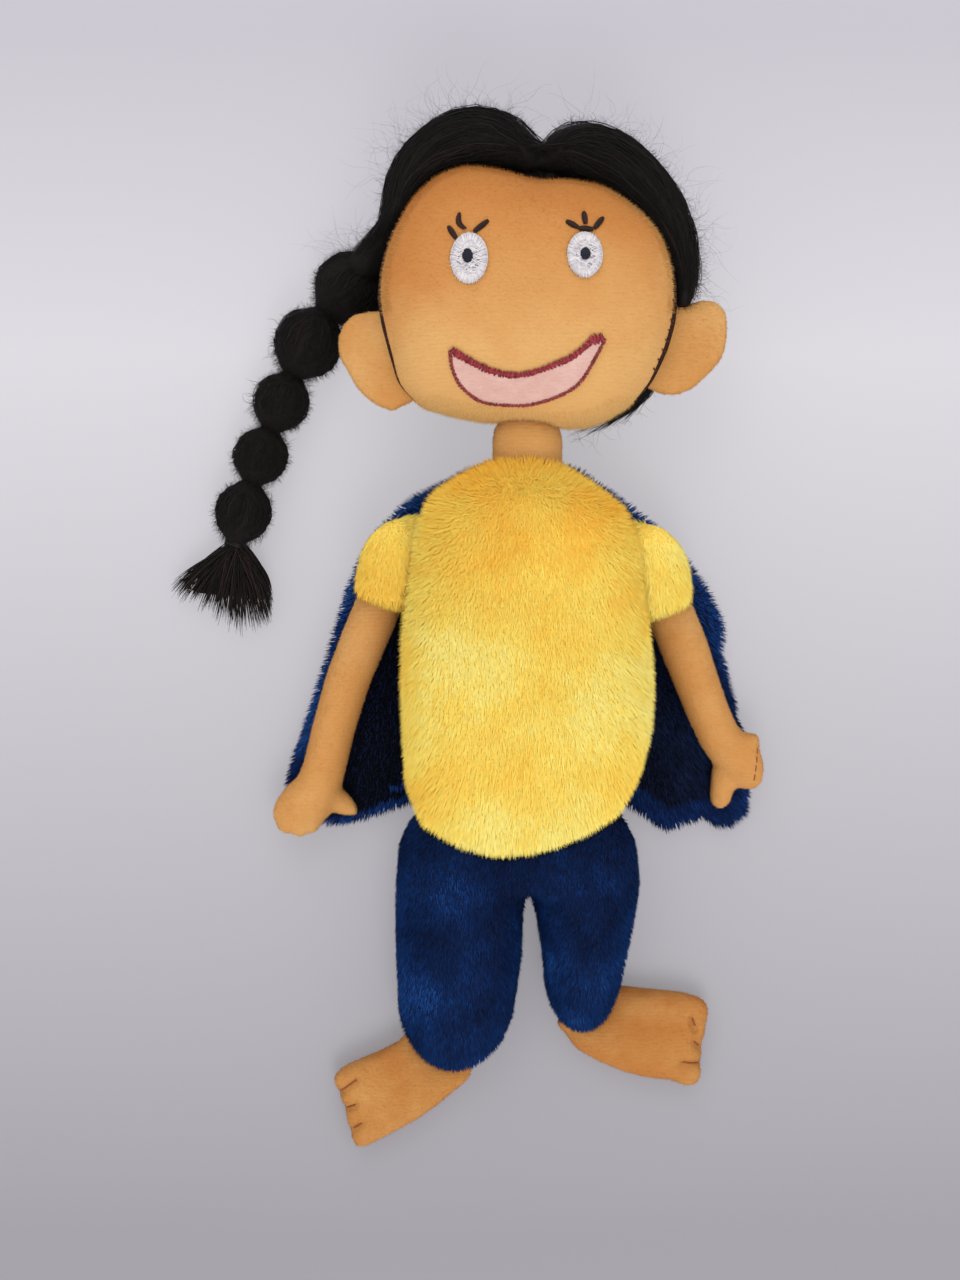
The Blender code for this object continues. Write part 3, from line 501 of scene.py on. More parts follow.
def piled(name, skin, materials, make, bald=None):
    # make has tufts per square mm, length and width in metres, how far they lean and which way, their spread and
    # swirl, patch size in metres, contrast and mix of the tones, and a seed. It may have ragged, the least and most
    # share of the length; bend; fan, (middle, how fast it opens); drift, (point, way) for the tones; and own and
    # even, for how the tufts take the light. No tuft stands on the faces that pass the test bald
    blades = [tuft(f"{name}_{n}", material, make.get("bend", 0)) for n, material in enumerate(materials)]
    group = bpy.data.node_groups.new(name, "GeometryNodeTree")
    for end in ("INPUT", "OUTPUT"):
        group.interface.new_socket("Geometry", in_out=end, socket_type="NodeSocketGeometry")

    def chance(low, high, step):
        # a random number for each tuft
        return node(group, "FunctionNodeRandomValue", {"data_type": "FLOAT"},
                    {2: low, 3: high, "Seed": make["seed"] + step}, 1)

    base = node(group, "NodeGroupInput")
    scatter = node(group, "GeometryNodeDistributePointsOnFaces", {"distribute_method": "RANDOM"},
                   {"Mesh": base, "Density": make["density"] * 1e6, "Seed": make["seed"]})
    facing = Socket(group, scatter.out.node.outputs["Normal"])
    marked = node(group, "GeometryNodeStoreNamedAttribute", {"data_type": "FLOAT_VECTOR", "domain": "POINT"},
                  {"Geometry": scatter, "Name": "lies", "Value": facing})
    wild = node(group, "FunctionNodeRandomValue", {"data_type": "FLOAT_VECTOR"},
                {0: (-1.0, -1.0, -1.0), 1: (1.0, 1.0, 1.0), "Seed": make["seed"] + 1})
    swirl = node(group, "ShaderNodeTexNoise", {}, {"Scale": 0.6 / make["patch"], "Detail": 1.0}, 1)
    swirl = vector(group, "SCALE", vector(group, "SUBTRACT", swirl, (0.5, 0.5, 0.5)), make["swirl"])
    way = vector(group, "ADD", facing, tuple(v * make["lean"] for v in make["flow"]))
    way = vector(group, "ADD", way, swirl)
    way = vector(group, "ADD", way, vector(group, "SCALE", wild, make["spread"]))
    if "fan" in make:
        # tufts near the outline of the piece point outwards, away from its middle
        middle, opening = make["fan"]
        away = vector(group, "SUBTRACT", node(group, "GeometryNodeInputPosition"), (*middle, 0.0))
        away = vector(group, "MULTIPLY", away, (*opening, 0.0))
        reached = vector(group, "LENGTH", away, out=1)
        way = vector(group, "ADD", way, vector(group, "SCALE", away, reached ** 3 * 3.4))
    turn = node(group, "FunctionNodeAlignRotationToVector", {"axis": "Z"}, {"Vector": way})
    spun = node(group, "FunctionNodeAxisAngleToRotation", {}, {"Axis": (0, 0, 1), "Angle": chance(-1.2, 1.2, 2)})
    turn = node(group, "FunctionNodeRotateRotation", {"rotation_space": "LOCAL"}, {0: turn, 1: spun})
    short, long = make.get("ragged", (0.6, 1.15))
    tall = chance(make["length"] * short, make["length"] * long, 3)
    wide = chance(make["width"] * 0.6, make["width"] * 1.2, 4)
    size = node(group, "ShaderNodeCombineXYZ", {}, {0: wide, 1: wide, 2: tall})
    sheaf = group.nodes.new("GeometryNodeJoinGeometry")
    for blade in reversed(blades):
        held = node(group, "GeometryNodeObjectInfo", {}, {"Object": blade, "As Instance": True})
        group.links.new(held.out.node.outputs["Geometry"], sheaf.inputs[0])
    last = len(blades) - 1
    patches = node(group, "ShaderNodeTexNoise", {}, {"Scale": 0.6 / make["patch"], "Detail": 3.0, "Roughness": 0.6})
    pick = (patches - 0.5) * (len(blades) * make["contrast"]) + chance(-1.0, 1.0, 5) * make["mix"] + last / 2
    if "drift" in make:
        # along this way across the piece, the tones go from the first to the last
        pick = pick + onward(group, node(group, "GeometryNodeInputPosition"), *make["drift"])
    pick = node(group, "FunctionNodeFloatToInt", {"rounding_mode": "ROUND"}, {0: pick})
    pick = node(group, "ShaderNodeClamp", {}, {0: pick, 1: 0.0, 2: float(last)})
    placed = node(group, "GeometryNodeInstanceOnPoints", {},
                  {"Points": marked, "Instance": Socket(group, sheaf.outputs[0]), "Pick Instance": True,
                   "Instance Index": pick, "Rotation": turn, "Scale": size})
    real = node(group, "GeometryNodeRealizeInstances", {}, {"Geometry": placed})
    group.links.new(real.out, group.nodes.new("NodeGroupOutput").inputs[0])
    holder = bpy.data.objects.new(name, skin.data.copy())
    collection.objects.link(holder)
    if bald:
        without(holder.data, bald)
    settled(modified(holder, "NODES", node_group=group))
    for blade in blades:
        bpy.data.objects.remove(blade)
    mesh = holder.data
    mesh.shade_smooth()
    # a tuft takes the light as the cloth under it does, and none of it goes through the floor
    lies = numbers(mesh.attributes["lies"].data, "vector")
    mesh.attributes.remove(mesh.attributes["lies"])
    places = numbers(mesh.vertices, "co")
    places[:, 2] = np.maximum(places[:, 2], 0.0001)
    mesh.vertices.foreach_set("co", places.ravel())
    own = make.get("own", 0.3)
    light = lies * (1 - own) + numbers(mesh.vertices, "normal") * own
    # long pile scatters the light, so that the slopes under it show less
    light[:, 2] *= make.get("even", 1.0)
    mesh.normals_split_custom_set_from_vertices(light / np.linalg.norm(light, axis=1, keepdims=True))
    print(name, len(mesh.polygons), "faces")
    return holder


# Finishes

# cloth: its colour, a warmer and a lighter one, then patches, fibre, rows and bump in metres, and the sheen
velour = napped("velour", (200, 146, 84), (190, 128, 65), (213, 170, 110), 0.042, 0.0007, 0.0014, 0.0003, 0.2)
# painted light and shade: the face is painted paler towards the chin and the right cheek, and warmer and darker at
# the forehead, as the light falls
faceVelourPaintedLight = napped("face_velour_painted_light", (201, 144, 82), (188, 119, 57), (216, 172, 110), 0.05, 0.0007, 0.0014, 0.0003,
                    0.2, ((0.0, 0.206, 0.0), (1.3, -10.0, 0.0)))
warmVelour = napped("warm_velour", (180, 123, 63), (170, 101, 44), (200, 154, 92), 0.022, 0.0007, 0.0014, 0.0003,
                    0.15)
brownCloth = woven("brown_cloth", (34, 12, 8), (56, 24, 18), 0.0007, 0.0002)
yellowBase = woven("yellow_base", (250, 196, 70), (254, 222, 104), 0.0012, 0.0002)
blueBase = woven("blue_base", (4, 14, 42), (8, 26, 68), 0.0012, 0.0002)
hairBase = fibrous("hair_base", (9, 7, 7), (22, 15, 14), 0.0005)
mouthFleece = napped("mouth_fleece", (208, 168, 157), (202, 158, 147), (221, 186, 176), 0.01, 0.0006, 0.0012,
                     0.0002, 0.2)
eyeCloth = napped("eye_cloth", (203, 198, 202), (195, 190, 196), (219, 214, 217), 0.004, 0.0004, 0.0009, 0.0002,
                  0.1)

# pile and thread: their tones from dark to light, then roughness, sheen and shine
yellowPile = shaded("yellow_pile", [(255, 190, 62), (255, 203, 78), (255, 216, 90), (255, 227, 106),
                                    (255, 237, 134)], 0.8, 0.6)
bluePile = shaded("blue_pile", [(0, 12, 40), (0, 22, 60), (3, 33, 78), (8, 44, 96), (20, 62, 124)], 0.8, 0.0, 0.1)
# painted light: the cape's blue plush as it looks where lit, for the rim of the cape
litRimPile = shaded("lit_rim_pile", [(3, 26, 68), (9, 42, 96), (20, 60, 122), (36, 80, 144)], 0.8, 0.0, 0.1)
# painted shade: the same plush as it looks in deep shade, for the middle of the cape and its lower left hem
shadedPile = shaded("shaded_pile", [(2, 4, 11), (4, 9, 22), (10, 20, 44), (20, 36, 68)], 0.8, 0.0, 0.08)
velourNap = shaded("velour_nap", [(184, 116, 56), (197, 137, 73), (209, 156, 90), (222, 178, 112)], 0.9, 0.15, 0.1)
warmNap = shaded("warm_nap", [(163, 101, 46), (176, 118, 59), (190, 140, 79)], 0.9, 0.15, 0.1)
mohair = [plain(f"mohair_{n}", tone, rough, 0.0, 0.2) for n, (tone, rough) in enumerate(
    [((7, 6, 4), 0.65), ((12, 9, 7), 0.65), ((21, 15, 13), 0.7), ((40, 28, 25), 0.75)])]
whiteThread = shaded("white_thread", [(193, 188, 193), (205, 199, 202), (218, 212, 213)], 0.6, 0.3)
darkThread = shaded("dark_thread", [(14, 15, 28), (26, 27, 42)], 0.5)
lashThread = shaded("lash_thread", [(32, 11, 8), (48, 20, 15)], 0.55)
lipThread = shaded("lip_thread", [(108, 20, 34), (128, 30, 44), (152, 50, 60)], 0.5)
lowerThread = shaded("lower_lip_thread", [(112, 36, 42), (140, 54, 54)], 0.5)
fleeceNap = shaded("fleece_nap", [(206, 158, 150), (216, 174, 165), (226, 194, 185)], 0.9, 0.2, 0.1)
seamThread = shaded("seam_thread", [(44, 14, 10), (70, 30, 22)], 0.55)
toeThread = [plain("toe_thread", (136, 74, 34), 0.6)]
tieThread = shaded("tie_thread", [(12, 9, 9), (24, 18, 18)], 0.5)

# Stuffed pieces: each skin is wrapped round its solids, then pressed out by its filling

# the fineness of each skin, how far it is drawn in for a pile and how often it is smoothed
skins = {"shirt": (0.0022, 0.0013, 3), "trousers": (0.0018, 0.0011, 4), "head": (0.0024, 0.0, 4),
         "neck": (0.0018, 0.0, 3), "sleeve": (0.002, 0.0011, 3), "arm": (0.0016, 0.0, 3), "foot": (0.0016, 0.0, 3),
         "ear": (0.0012, 0.0, 2), "cap": 0.0014}

bodySkin = skinned("shirt", ["shirt_front", "shirt_back", "body_stuffing"], *skins["shirt"])
trouserNodes = [name for part in ("trouser_seat", "trouser_leg_left", "trouser_leg_right")
                for name in (part, f"{part}_stuffing")]
trouserSkin = skinned("trousers", trouserNodes, *skins["trousers"])
headSkin = skinned("head", ["face_panel", "head_back_panel", "head_stuffing"], *skins["head"])
neckSkin = skinned("neck_skin", ["neck", "neck_stuffing"], *skins["neck"])
sleeveSkins, armSkins, footSkins, earSkins = {}, {}, {}, {}
for side in ("left", "right"):
    for part, kept in (("sleeve", sleeveSkins), ("arm", armSkins), ("foot", footSkins)):
        kept[side] = skinned(f"{part}_skin_{side}", [f"{part}_{side}", f"{part}_{side}_stuffing"], *skins[part])
    earSkins[side] = skinned(f"ear_skin_{side}", [f"ear_front_{side}", f"ear_back_{side}"], *skins["ear"])

# Where a piece is sewn to the next, it goes on a little way inside the seam: a point of the seam, the way in, the
# stretch over which it grows, how far it goes, and the way it goes where that is another one

tucks = [(neckSkin, (0, 0.150, 0), (0, -1, 0), 0.003, 0.008),
         (sleeveSkins["left"], (-0.0425, 0.1087, 0), (1, -0.02, 0), 0.004, 0.004),
         (sleeveSkins["right"], (0.0475, 0.1087, 0), (-1, -0.02, 0), 0.004, 0.004),
         (footSkins["left"], (-0.0293, -0.0718, 0), (0.39, 0.92, 0), 0.003, 0.004),
         (footSkins["right"], (0.0290, -0.0564, 0), (-0.5, 0.86, 0), 0.003, 0.0038, (-0.93, 0.37, 0))]


def reach(obj, point, way, zone, far, towards=None):
    point, way, towards = Vector(point), Vector(way).normalized(), Vector(towards or way).normalized()
    for v in obj.data.vertices:
        v.co += towards * far * clamped((v.co - point).dot(way) / zone)


for tuck in tucks:
    reach(*tuck)

headMiddle = (0.0031, 0.2051)
# how far the forehead is drawn down at each place across it, and where up the head that starts
brow = {"x": (-0.030, -0.0175, 0.0052, 0.0164, 0.029, 0.042, 0.052),
        "dip": (0, 0.0006, 0.0026, 0.0020, 0.0016, 0.0014, 0), "from": 0.222, "over": 0.022}
for v in headSkin.data.vertices:
    share = clamped((v.co.y - brow["from"]) / brow["over"])
    v.co.y -= float(np.interp(v.co.x, brow["x"], brow["dip"])) * share * share * (3 - 2 * share)

earSeam = {"near": 0.0055, "over": 0.005, "deep": 0.006, "upward": 0.3}
headTree = tree(headSkin)
for skin in earSkins.values():
    for v in skin.data.vertices:
        away = headTree.find_nearest(v.co)[3]
        out = Vector((v.co.x - headMiddle[0], (v.co.y - headMiddle[1]) * earSeam["upward"], 0)).normalized()
        v.co -= out * earSeam["deep"] * clamped((earSeam["near"] - away) / earSeam["over"])

neckFlare = 0.09  # the share by which the neck is wider than its solid
for v in neckSkin.data.vertices:
    v.co.x += (v.co.x - headMiddle[0]) * neckFlare

# the gap between the legs goes up a little further
slit = {"top": (0.00405, -0.0156), "rise": 0.0056, "width": 0.0045, "height": 0.0075}
for v in trouserSkin.data.vertices:
    aside, up = (v.co.x - slit["top"][0]) / slit["width"], (v.co.y - slit["top"][1]) / slit["height"]
    v.co.y += slit["rise"] * math.exp(-aside * aside - up * up)
print("skins wrapped")

pressed = [bodySkin, trouserSkin, headSkin, *sleeveSkins.values(), *armSkins.values(), *footSkins.values(),
           *earSkins.values()]
puffed(pressed, skins["cap"])
print("filling pressed out")

# Shirt

shirtPile = {"density": 3.3, "length": 0.0036, "width": 0.00046, "lean": 1.8, "flow": (0, -1, 0), "spread": 0.55,
             "swirl": 1.7, "patch": 0.028, "contrast": 1.8, "mix": 0.9, "seed": 3, "own": 0.05,
             "ragged": (0.65, 1.25), "even": 4.5, "fan": ((0.003, 0.075), (17.0, 13.0)),
             "drift": ((0.0, 0.086, 0.0), (0.0, -19.0, 0.0))}
shirtHalves = {"seam": 0.0318, "front": 1.0, "back": 0.45}  # its height, and the share of the pile on each half

shirt = dressed(bodySkin, yellowBase)
shirt.data.shade_smooth()
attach(shirt, "body")
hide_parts("shirt_front", "shirt_back", "body_stuffing")
for part, way in (("front", 1), ("back", -1)):
    half = cutTo(shirt, f"shirt_half_{part}", [((0, 0, shirtHalves["seam"]), (0, 0, way))])
    density = shirtPile["density"] * shirtHalves[part]
    pile = piled(f"shirt_pile_{part}", half, yellowPile, {**shirtPile, "seed": 3 + way, "density": density},
                 lambda f: onCut(f, 2, shirtHalves["seam"]))
    bpy.data.objects.remove(half)
    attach(pile, "body")
print("shirt")

# Trousers: a seat, and two legs cut from it at the seam below it, where the doll's legs bend

trousers = {"hip": -0.009, "bend": 0.009, "crotch": 0.00405, "inShirt": (0.022, 0.012)}
trouserPile = {"density": 2.5, "length": 0.0024, "width": 0.0005, "lean": 1.4, "flow": (0, -1, 0), "spread": 0.4,
               "swirl": 1.8, "patch": 0.016, "contrast": 1.6, "mix": 1.0, "seed": 20, "even": 1.5}

top = trousers["hip"] + trousers["bend"] / 2
seat = cutTo(trouserSkin, "trouser_seat_skin", [((0, top, 0), (0, 1, 0))])
legs = {side: cutTo(trouserSkin, f"trouser_leg_skin_{side}",
                    [((0, top, 0), (0, -1, 0)), ((trousers["crotch"], 0, 0), (way, 0, 0))])
        for side, way in (("left", -1), ("right", 1))}
bpy.data.objects.remove(trouserSkin)


def hidden(f):
    # the cut faces of the trousers, and the top of the seat inside the shirt
    middle, (high, front) = f.calc_center_median(), trousers["inShirt"]
    return onCut(f, 1, top) or onCut(f, 0, trousers["crotch"]) or (middle.y > high and middle.z > front)


seatPile = piled("trouser_seat_pile", seat, bluePile, trouserPile, hidden)
dressed(seat, blueBase).data.shade_smooth()
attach(seat, "body")
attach(seatPile, "body")
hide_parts("trouser_seat", "trouser_seat_stuffing")
for side, leg in legs.items():
    pile = piled(f"trouser_leg_pile_{side}", leg, bluePile, {**trouserPile, "seed": 30 + len(side)}, hidden)
    dressed(leg, blueBase).data.shade_smooth()
    for piece in (leg, pile):
        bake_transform(piece)
    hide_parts(f"trouser_leg_{side}", f"trouser_leg_{side}_stuffing")
print("trousers")

# Sleeves and arms

sleevePile = {**shirtPile, "seed": 50, "contrast": 1.0, "drift": ((0.0, 0.11, 0.0), (13.0, 0.0, 0.0))}
armNap = {"density": 2.0, "length": 0.0007, "width": 0.00018, "lean": 0.5, "flow": (0, -1, 0), "spread": 0.6,
          "swirl": 0.8, "patch": 0.02, "contrast": 1.5, "mix": 1.0, "seed": 60}
sleeveMiddles = {"left": (-0.052, 0.108), "right": (0.057, 0.108)}
# the ends of the left fingers and its thumb, and the square end of the right hand
hands = {"left": [((283, 828), (281.5, 832)), ((298, 831), (298, 836.5)), ((313, 829), (314, 834)),
                  ((351, 809), (355.5, 814.5))],
         "right": [((751, 743), (758.5, 738)), ((755, 749), (757, 747))]}
shoulders = {"left": ((-0.0386, 0.1087, 0.0383), (-1, 0.02, 0)),
             "right": ((0.0433, 0.1087, 0.0383), (1, 0.02, 0))}

for side in ("left", "right"):
    seam, way = Vector(shoulders[side][0]), Vector(shoulders[side][1])
    sleeve = dressed(sleeveSkins[side], yellowBase)
    arm = dressed(smooth(armSkins[side]), velour)
    drawn(arm, hands[side], 0.02, 0.0028)
    pile = piled(f"sleeve_pile_{side}", sleeve, yellowPile, {**sleevePile, "seed": 50 + len(side),
                 "fan": (sleeveMiddles[side], (40.0, 34.0))})
    nap = piled(f"arm_nap_{side}", arm, velourNap, {**armNap, "seed": 60 + len(side)})
    sleeve.data.shade_smooth()
    for piece in (sleeve, pile):
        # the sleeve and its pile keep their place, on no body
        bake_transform(piece)
    for piece in (arm, nap):
        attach(piece, f"arm_{side}")
    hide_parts(f"sleeve_{side}", f"sleeve_{side}_stuffing")
    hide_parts(f"arm_{side}", f"arm_{side}_stuffing")
print("arms")

# Feet, ears and neck

# stitches in the picture that gather the toes
toes = {"left": [[(339, 1094), (347, 1088), (356, 1081)], [(346, 1111), (355, 1106)], [(353, 1131), (361, 1125)]],
        "right": [[(683, 1063), (691, 1065), (699, 1066)], [(695, 1043), (700, 1048)], [(693, 1019), (696, 1027)]]}
gather = {"width": 0.0013, "depth": 0.0014, "edge": 0.0010, "past": 0.6, "height": 0.012}


def gathered(foot, lines):
    # a groove along each stitch, which also draws the front edge in
    middle = sum((v.co for v in foot.data.vertices), Vector()) / len(foot.data.vertices)
    for line in lines:
        first, last = [seen(*line[end], gather["height"]) for end in (0, -1)]
        outerFirst = (first - middle).length > (last - middle).length
        front, run = first if outerFirst else last, last - first
        low, high = (-gather["past"], 1.0) if outerFirst else (0.0, 1.0 + gather["past"])
        for v in foot.data.vertices:
            share = (v.co.xy - first.xy).dot(run.xy) / run.xy.length_squared
            share = min(max(share, low), high)
            near = math.exp(-((v.co.xy - (first + run * share).xy).length / gather["width"]) ** 2)
            v.co.z -= gather["depth"] * near if v.co.z > middle.z else 0.0
            edge = math.exp(-((v.co.xy - front.xy).length / (gather["width"] * 2)) ** 2)
            v.co += (middle - front).normalized() * gather["edge"] * edge


footNap = {**armNap, "seed": 70}
ankles = {"left": ((-0.0281, -0.0690, 0), (-0.39, -0.92, 0)), "right": ((0.0275, -0.0538, 0), (0.5, -0.86, 0))}

for side in ("left", "right"):
    foot = dressed(smooth(footSkins[side]), warmVelour)
    gathered(foot, toes[side])
    nap = piled(f"foot_nap_{side}", foot, warmNap, {**footNap, "seed": 70 + len(side)})
    ear = dressed(smooth(earSkins[side]), velour)
    earNap = piled(f"ear_nap_{side}", ear, velourNap, {**footNap, "seed": 80 + len(side)})
    seam, way = Vector(ankles[side][0]), Vector(ankles[side][1])
    for piece in (foot, nap):
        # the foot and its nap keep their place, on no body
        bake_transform(piece)
    for piece in (ear, earNap):
        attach(piece, f"ear_{side}")
    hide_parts(f"foot_{side}", f"foot_{side}_stuffing")
    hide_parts(f"ear_front_{side}", f"ear_back_{side}")

neck = dressed(smooth(neckSkin), velour)
nap = piled("neck_nap", neck, velourNap, {**footNap, "seed": 90})
for piece in (neck, nap):
    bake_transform(piece)
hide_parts("neck", "neck_stuffing")
print("feet, ears and neck")

# Head: a velour face and a dark back, sewn together before the middle of its depth

head = {"seam": 0.0432, "nap": 1.4, "chin": 0.177, "slope": 0.62, "round": 0.006, "turn": 0.014,
        "fringe": (0.168, 0.197), "fringeHigh": 0.0045}
# painted light and shade: the nap and the fringe of the face take lighter tones towards the chin and the right,
# darker ones at the forehead
faceNapLight = {"drift": ((0.0, 0.210, 0.0), (8.0, -40.0, 0.0))}


def seamDrop(x, y):
    # how far the seam lies below its height at the brow: it dips at the chin and rises to the right
    below = head["chin"] - y
    return (below + math.hypot(below, head["round"])) / 2 * head["slope"] - head["turn"] * x


smooth(headSkin)
for v in headSkin.data.vertices:
    v.co.z += seamDrop(v.co.x, v.co.y)
face = dressed(cutTo(headSkin, "face", [((0, 0, head["seam"]), (0, 0, 1))]), faceVelourPaintedLight)
back = dressed(cutTo(headSkin, "head_back", [((0, 0, head["seam"]), (0, 0, -1))]), brownCloth)
bpy.data.objects.remove(headSkin)
skin = shown("face_bare", without(face.data.copy(), lambda f: onCut(f, 2, head["seam"])))
for piece in (face, back, skin):
    for v in piece.data.vertices:
        v.co.z -= seamDrop(v.co.x, v.co.y)


def offRim(f):
    # all but the two sides of the face, close to its seam
    middle, (low, high) = f.calc_center_median(), head["fringe"]
    return middle.z > head["seam"] + head["fringeHigh"] or low < middle.y < high


nap = piled("face_nap", skin, velourNap, {**armNap, **faceNapLight, "density": head["nap"], "flow": (0.3, -1, 0),
            "seed": 95})
# the cut edge of the face's velour stands out beyond the seam
fringe = piled("face_fringe", skin, velourNap, {**armNap, **faceNapLight, "density": 2.8, "length": 0.0014,
               "width": 0.0002, "seed": 96, "fan": ((0.0031, 0.205), (17.0, 18.0))}, offRim)
bpy.data.objects.remove(skin)
for piece, slotName in ((face, "velour"), (back, "brown_cloth"), (nap, "velour"), (fringe, "velour")):
    piece.data.shade_smooth()
    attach(piece, "head")
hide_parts("face_panel", "head_stuffing")
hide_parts("head_back_panel")
print("head")

# Hair: a roll to each side of the parting, the hair behind the head, and a braid tied off into bubbles

hair = {"strand": 0.00013, "fine": 0.00007, "rolls": 560, "back": 420, "lobe": 190, "tassel": 620, "loose": 380,
        "short": 560, "high": 0.0155, "shades": (6, 5, 2, 1), "from": (-0.15, 0.6), "run": (0.35, 0.8),
        "wave": (0.0002, 0.0009), "quick": (6, 22), "width": (0.7, 1.4)}
frizz = {"density": 0.66, "length": 0.0042, "width": 0.00011, "lean": 0.5, "flow": (0, -1, 0), "spread": 1.1,
         "swirl": 2.2, "patch": 0.004, "contrast": 1.2, "mix": 1.4, "seed": 140, "own": 0.5, "bend": 0.6}
# places along the middle of each roll in the picture, half its width and its height, in metres
rollRoutes = {"left": [(537, 171, 0.0022, 0.036), (530, 161, 0.0052, 0.036), (519, 150, 0.0082, 0.036),
                       (500, 142, 0.0100, 0.036), (473, 137, 0.0106, 0.036), (443, 146, 0.0094, 0.036),
                       (418, 165, 0.0080, 0.036), (402, 190, 0.0060, 0.036), (396, 214, 0.0042, 0.034),
                       (389, 232, 0.0042, 0.029), (378, 249, 0.0056, 0.021), (366, 265, 0.0068, 0.014),
                       (355, 277, 0.0066, 0.010)],
              "right": [(543, 171, 0.0022, 0.036), (549, 161, 0.0050, 0.036), (559, 154, 0.0076, 0.036),
                        (578, 150, 0.0100, 0.036), (608, 158, 0.0098, 0.036), (637, 179, 0.0092, 0.036),
                        (660, 207, 0.0082, 0.036), (677, 240, 0.0066, 0.036), (685, 268, 0.0050, 0.036),
                        (687, 288, 0.0040, 0.036), (682, 308, 0.0024, 0.036)]}
luck = random.Random(7)


def strayed(x, y, z):
    # a small step to any side, of about this much along each axis
    return Vector([luck.gauss(0, far) for far in (x, y, z)])


def roll(name, route, tall=1.35):
    # a tube through these places with its own half width at each, taller or flatter than it is wide
    curve = tube(name, 1.0, 4)
    spline = curve.splines.new("NURBS")
    spline.points.add(len(route) - 1)
    spline.use_endpoint_u = True
    for point, (x, y, z, half) in zip(spline.points, route):
        point.co, point.radius = (x, y, z / tall, 1.0), half
    made = meshed(name, curve)
    for v in made.data.vertices:
        v.co.z = max(v.co.z * tall, 0.0003)
    return made


def wrapped(name, objects, voxel):
    # one closed skin round all of them
    skin = joined(objects)
    skin.name = name
    remeshed(skin, voxel)
    with opened(skin.data) as bm:
        eased(bm, 3)
    return skin


def along(points, share):
    # the place at this share of the length of a route, which rounds its own corners
    points = np.array(points, float)
    if len(points) > 3:
        ends = np.vstack([2 * points[0] - points[1], points, 2 * points[-1] - points[-2]])
        a, b, c, d = ends[:-3, None], ends[1:-2, None], ends[2:-1, None], ends[3:, None]
        t = np.linspace(0, 1, 6)[None, :, None]
        bent = 0.5 * (2 * b + (c - a) * t + (2 * a - 5 * b + 4 * c - d) * t ** 2 + (3 * b - a - 3 * c + d) * t ** 3)
        points = np.vstack([bent[:, :-1].reshape(-1, points.shape[1]), points[-1:]])
    steps = np.linalg.norm(np.diff(points, axis=0), axis=1)
    length = np.concatenate([[0], np.cumsum(steps)]) / steps.sum()
    return Vector([np.interp(share, length, points[:, axis]) for axis in range(points.shape[1])])


def combed(bvh, route, halves, high, count, lift, points=10, drift=0.5, full=False):
    # strands that follow a route over the skin, each from one share of it to another
    made = []
    for _ in range(count):
        first = 0.0 if full else luck.uniform(*hair["from"])
        last = 1.0 if full else first + luck.uniform(*hair["run"])
        first, last = max(first, 0.0), min(last, 1.0)
        angle, turn = luck.uniform(0, 2 * math.pi), luck.uniform(-drift, drift)
        wave, phase, quick = luck.uniform(*hair["wave"]), luck.uniform(0, 6.28), luck.uniform(*hair["quick"])
        rise, strand = luck.uniform(*lift), []
        for n in range(points):
            share = first + (last - first) * n / (points - 1)
            middle = along(route, share)
            ahead = along(route, min(share + 0.02, 1.0)) - along(route, max(share - 0.02, 0.0))
            side = ahead.cross(Vector((0, 0, 1))).normalized()
            half = float(np.interp(share, np.linspace(0, 1, len(halves)), halves))
            a = angle + turn * (share - 0.5)
            aim = middle + side * math.cos(a) * half * 1.5 + Vector((0, 0, 1)) * math.sin(a) * high * 1.5
            place, facing, _, _ = bvh.find_nearest(aim)
            bow = math.sin(math.pi * n / (points - 1)) ** 0.5
            place = place + facing * rise * bow + side * wave * math.sin(phase + quick * share)
            strand.append(place)
        shade = luck.choices(range(4), hair["shades"])[0]
        made.append((strand, shade, luck.uniform(*hair["width"]), 0.15))
    return made


def loose(bvh, starts, count, reach, width=(0.28, 0.5)):
    # single hairs that have sprung free, each a wandering curl
    made = []
    for _ in range(count):
        aim = starts()
        place, facing, _, _ = bvh.find_nearest(aim)
        way = facing * 0.8 + strayed(1.0, 1.0, 1.0)
        way.z *= 0.5
        way.normalize()
        bend = strayed(0.6, 0.6, 0.15)
        wave, phase = luck.uniform(0.0, 0.9), luck.uniform(0, 6.28)
        step = reach * luck.uniform(0.15, 1.0) ** 1.5 / 8
        strand, at = [], place - facing * 0.0004
        for n in range(9):
            strand.append(at.copy())
            at = at + way * step
            at.z = max(at.z, 0.0006)
            across = Vector((-way.y, way.x, 0))
            way = (way + bend * 0.4 + across * wave * math.sin(phase + n)).normalized()
        made.append((strand, luck.choice((1, 2, 3, 3)), luck.uniform(*width), 0.3))
    return made


def outside(side):
    # a place beyond the outer side of the roll, seen from the middle of the face
    at = along(routes[side], luck.uniform(0.02, 1.0))
    out = (at - Vector((headMiddle[0], headMiddle[1] - 0.01, at.z))).normalized()
    return at + out * 0.02 + strayed(0.006, 0.006, 0.014)


rolls = [roll(f"roll_{side}", [(*seen(px, py, z), half) for px, py, half, z in route])
         for side, route in rollRoutes.items()]
behind = skinned("behind", ["hair_back"], 0.0016, 0.0004, 3)
crown = wrapped("hair_mass", [*rolls, behind], 0.0015)
dressed(crown, hairBase).data.shade_smooth()
crownTree = tree(crown)
routes = {side: [seen(px, py, z) for px, py, _, z in route] for side, route in rollRoutes.items()}
locks = []
for side, route in rollRoutes.items():
    locks += combed(crownTree, routes[side], [half for _, _, half, _ in route], hair["high"], hair["rolls"],
                    (0.0001, 0.0011))

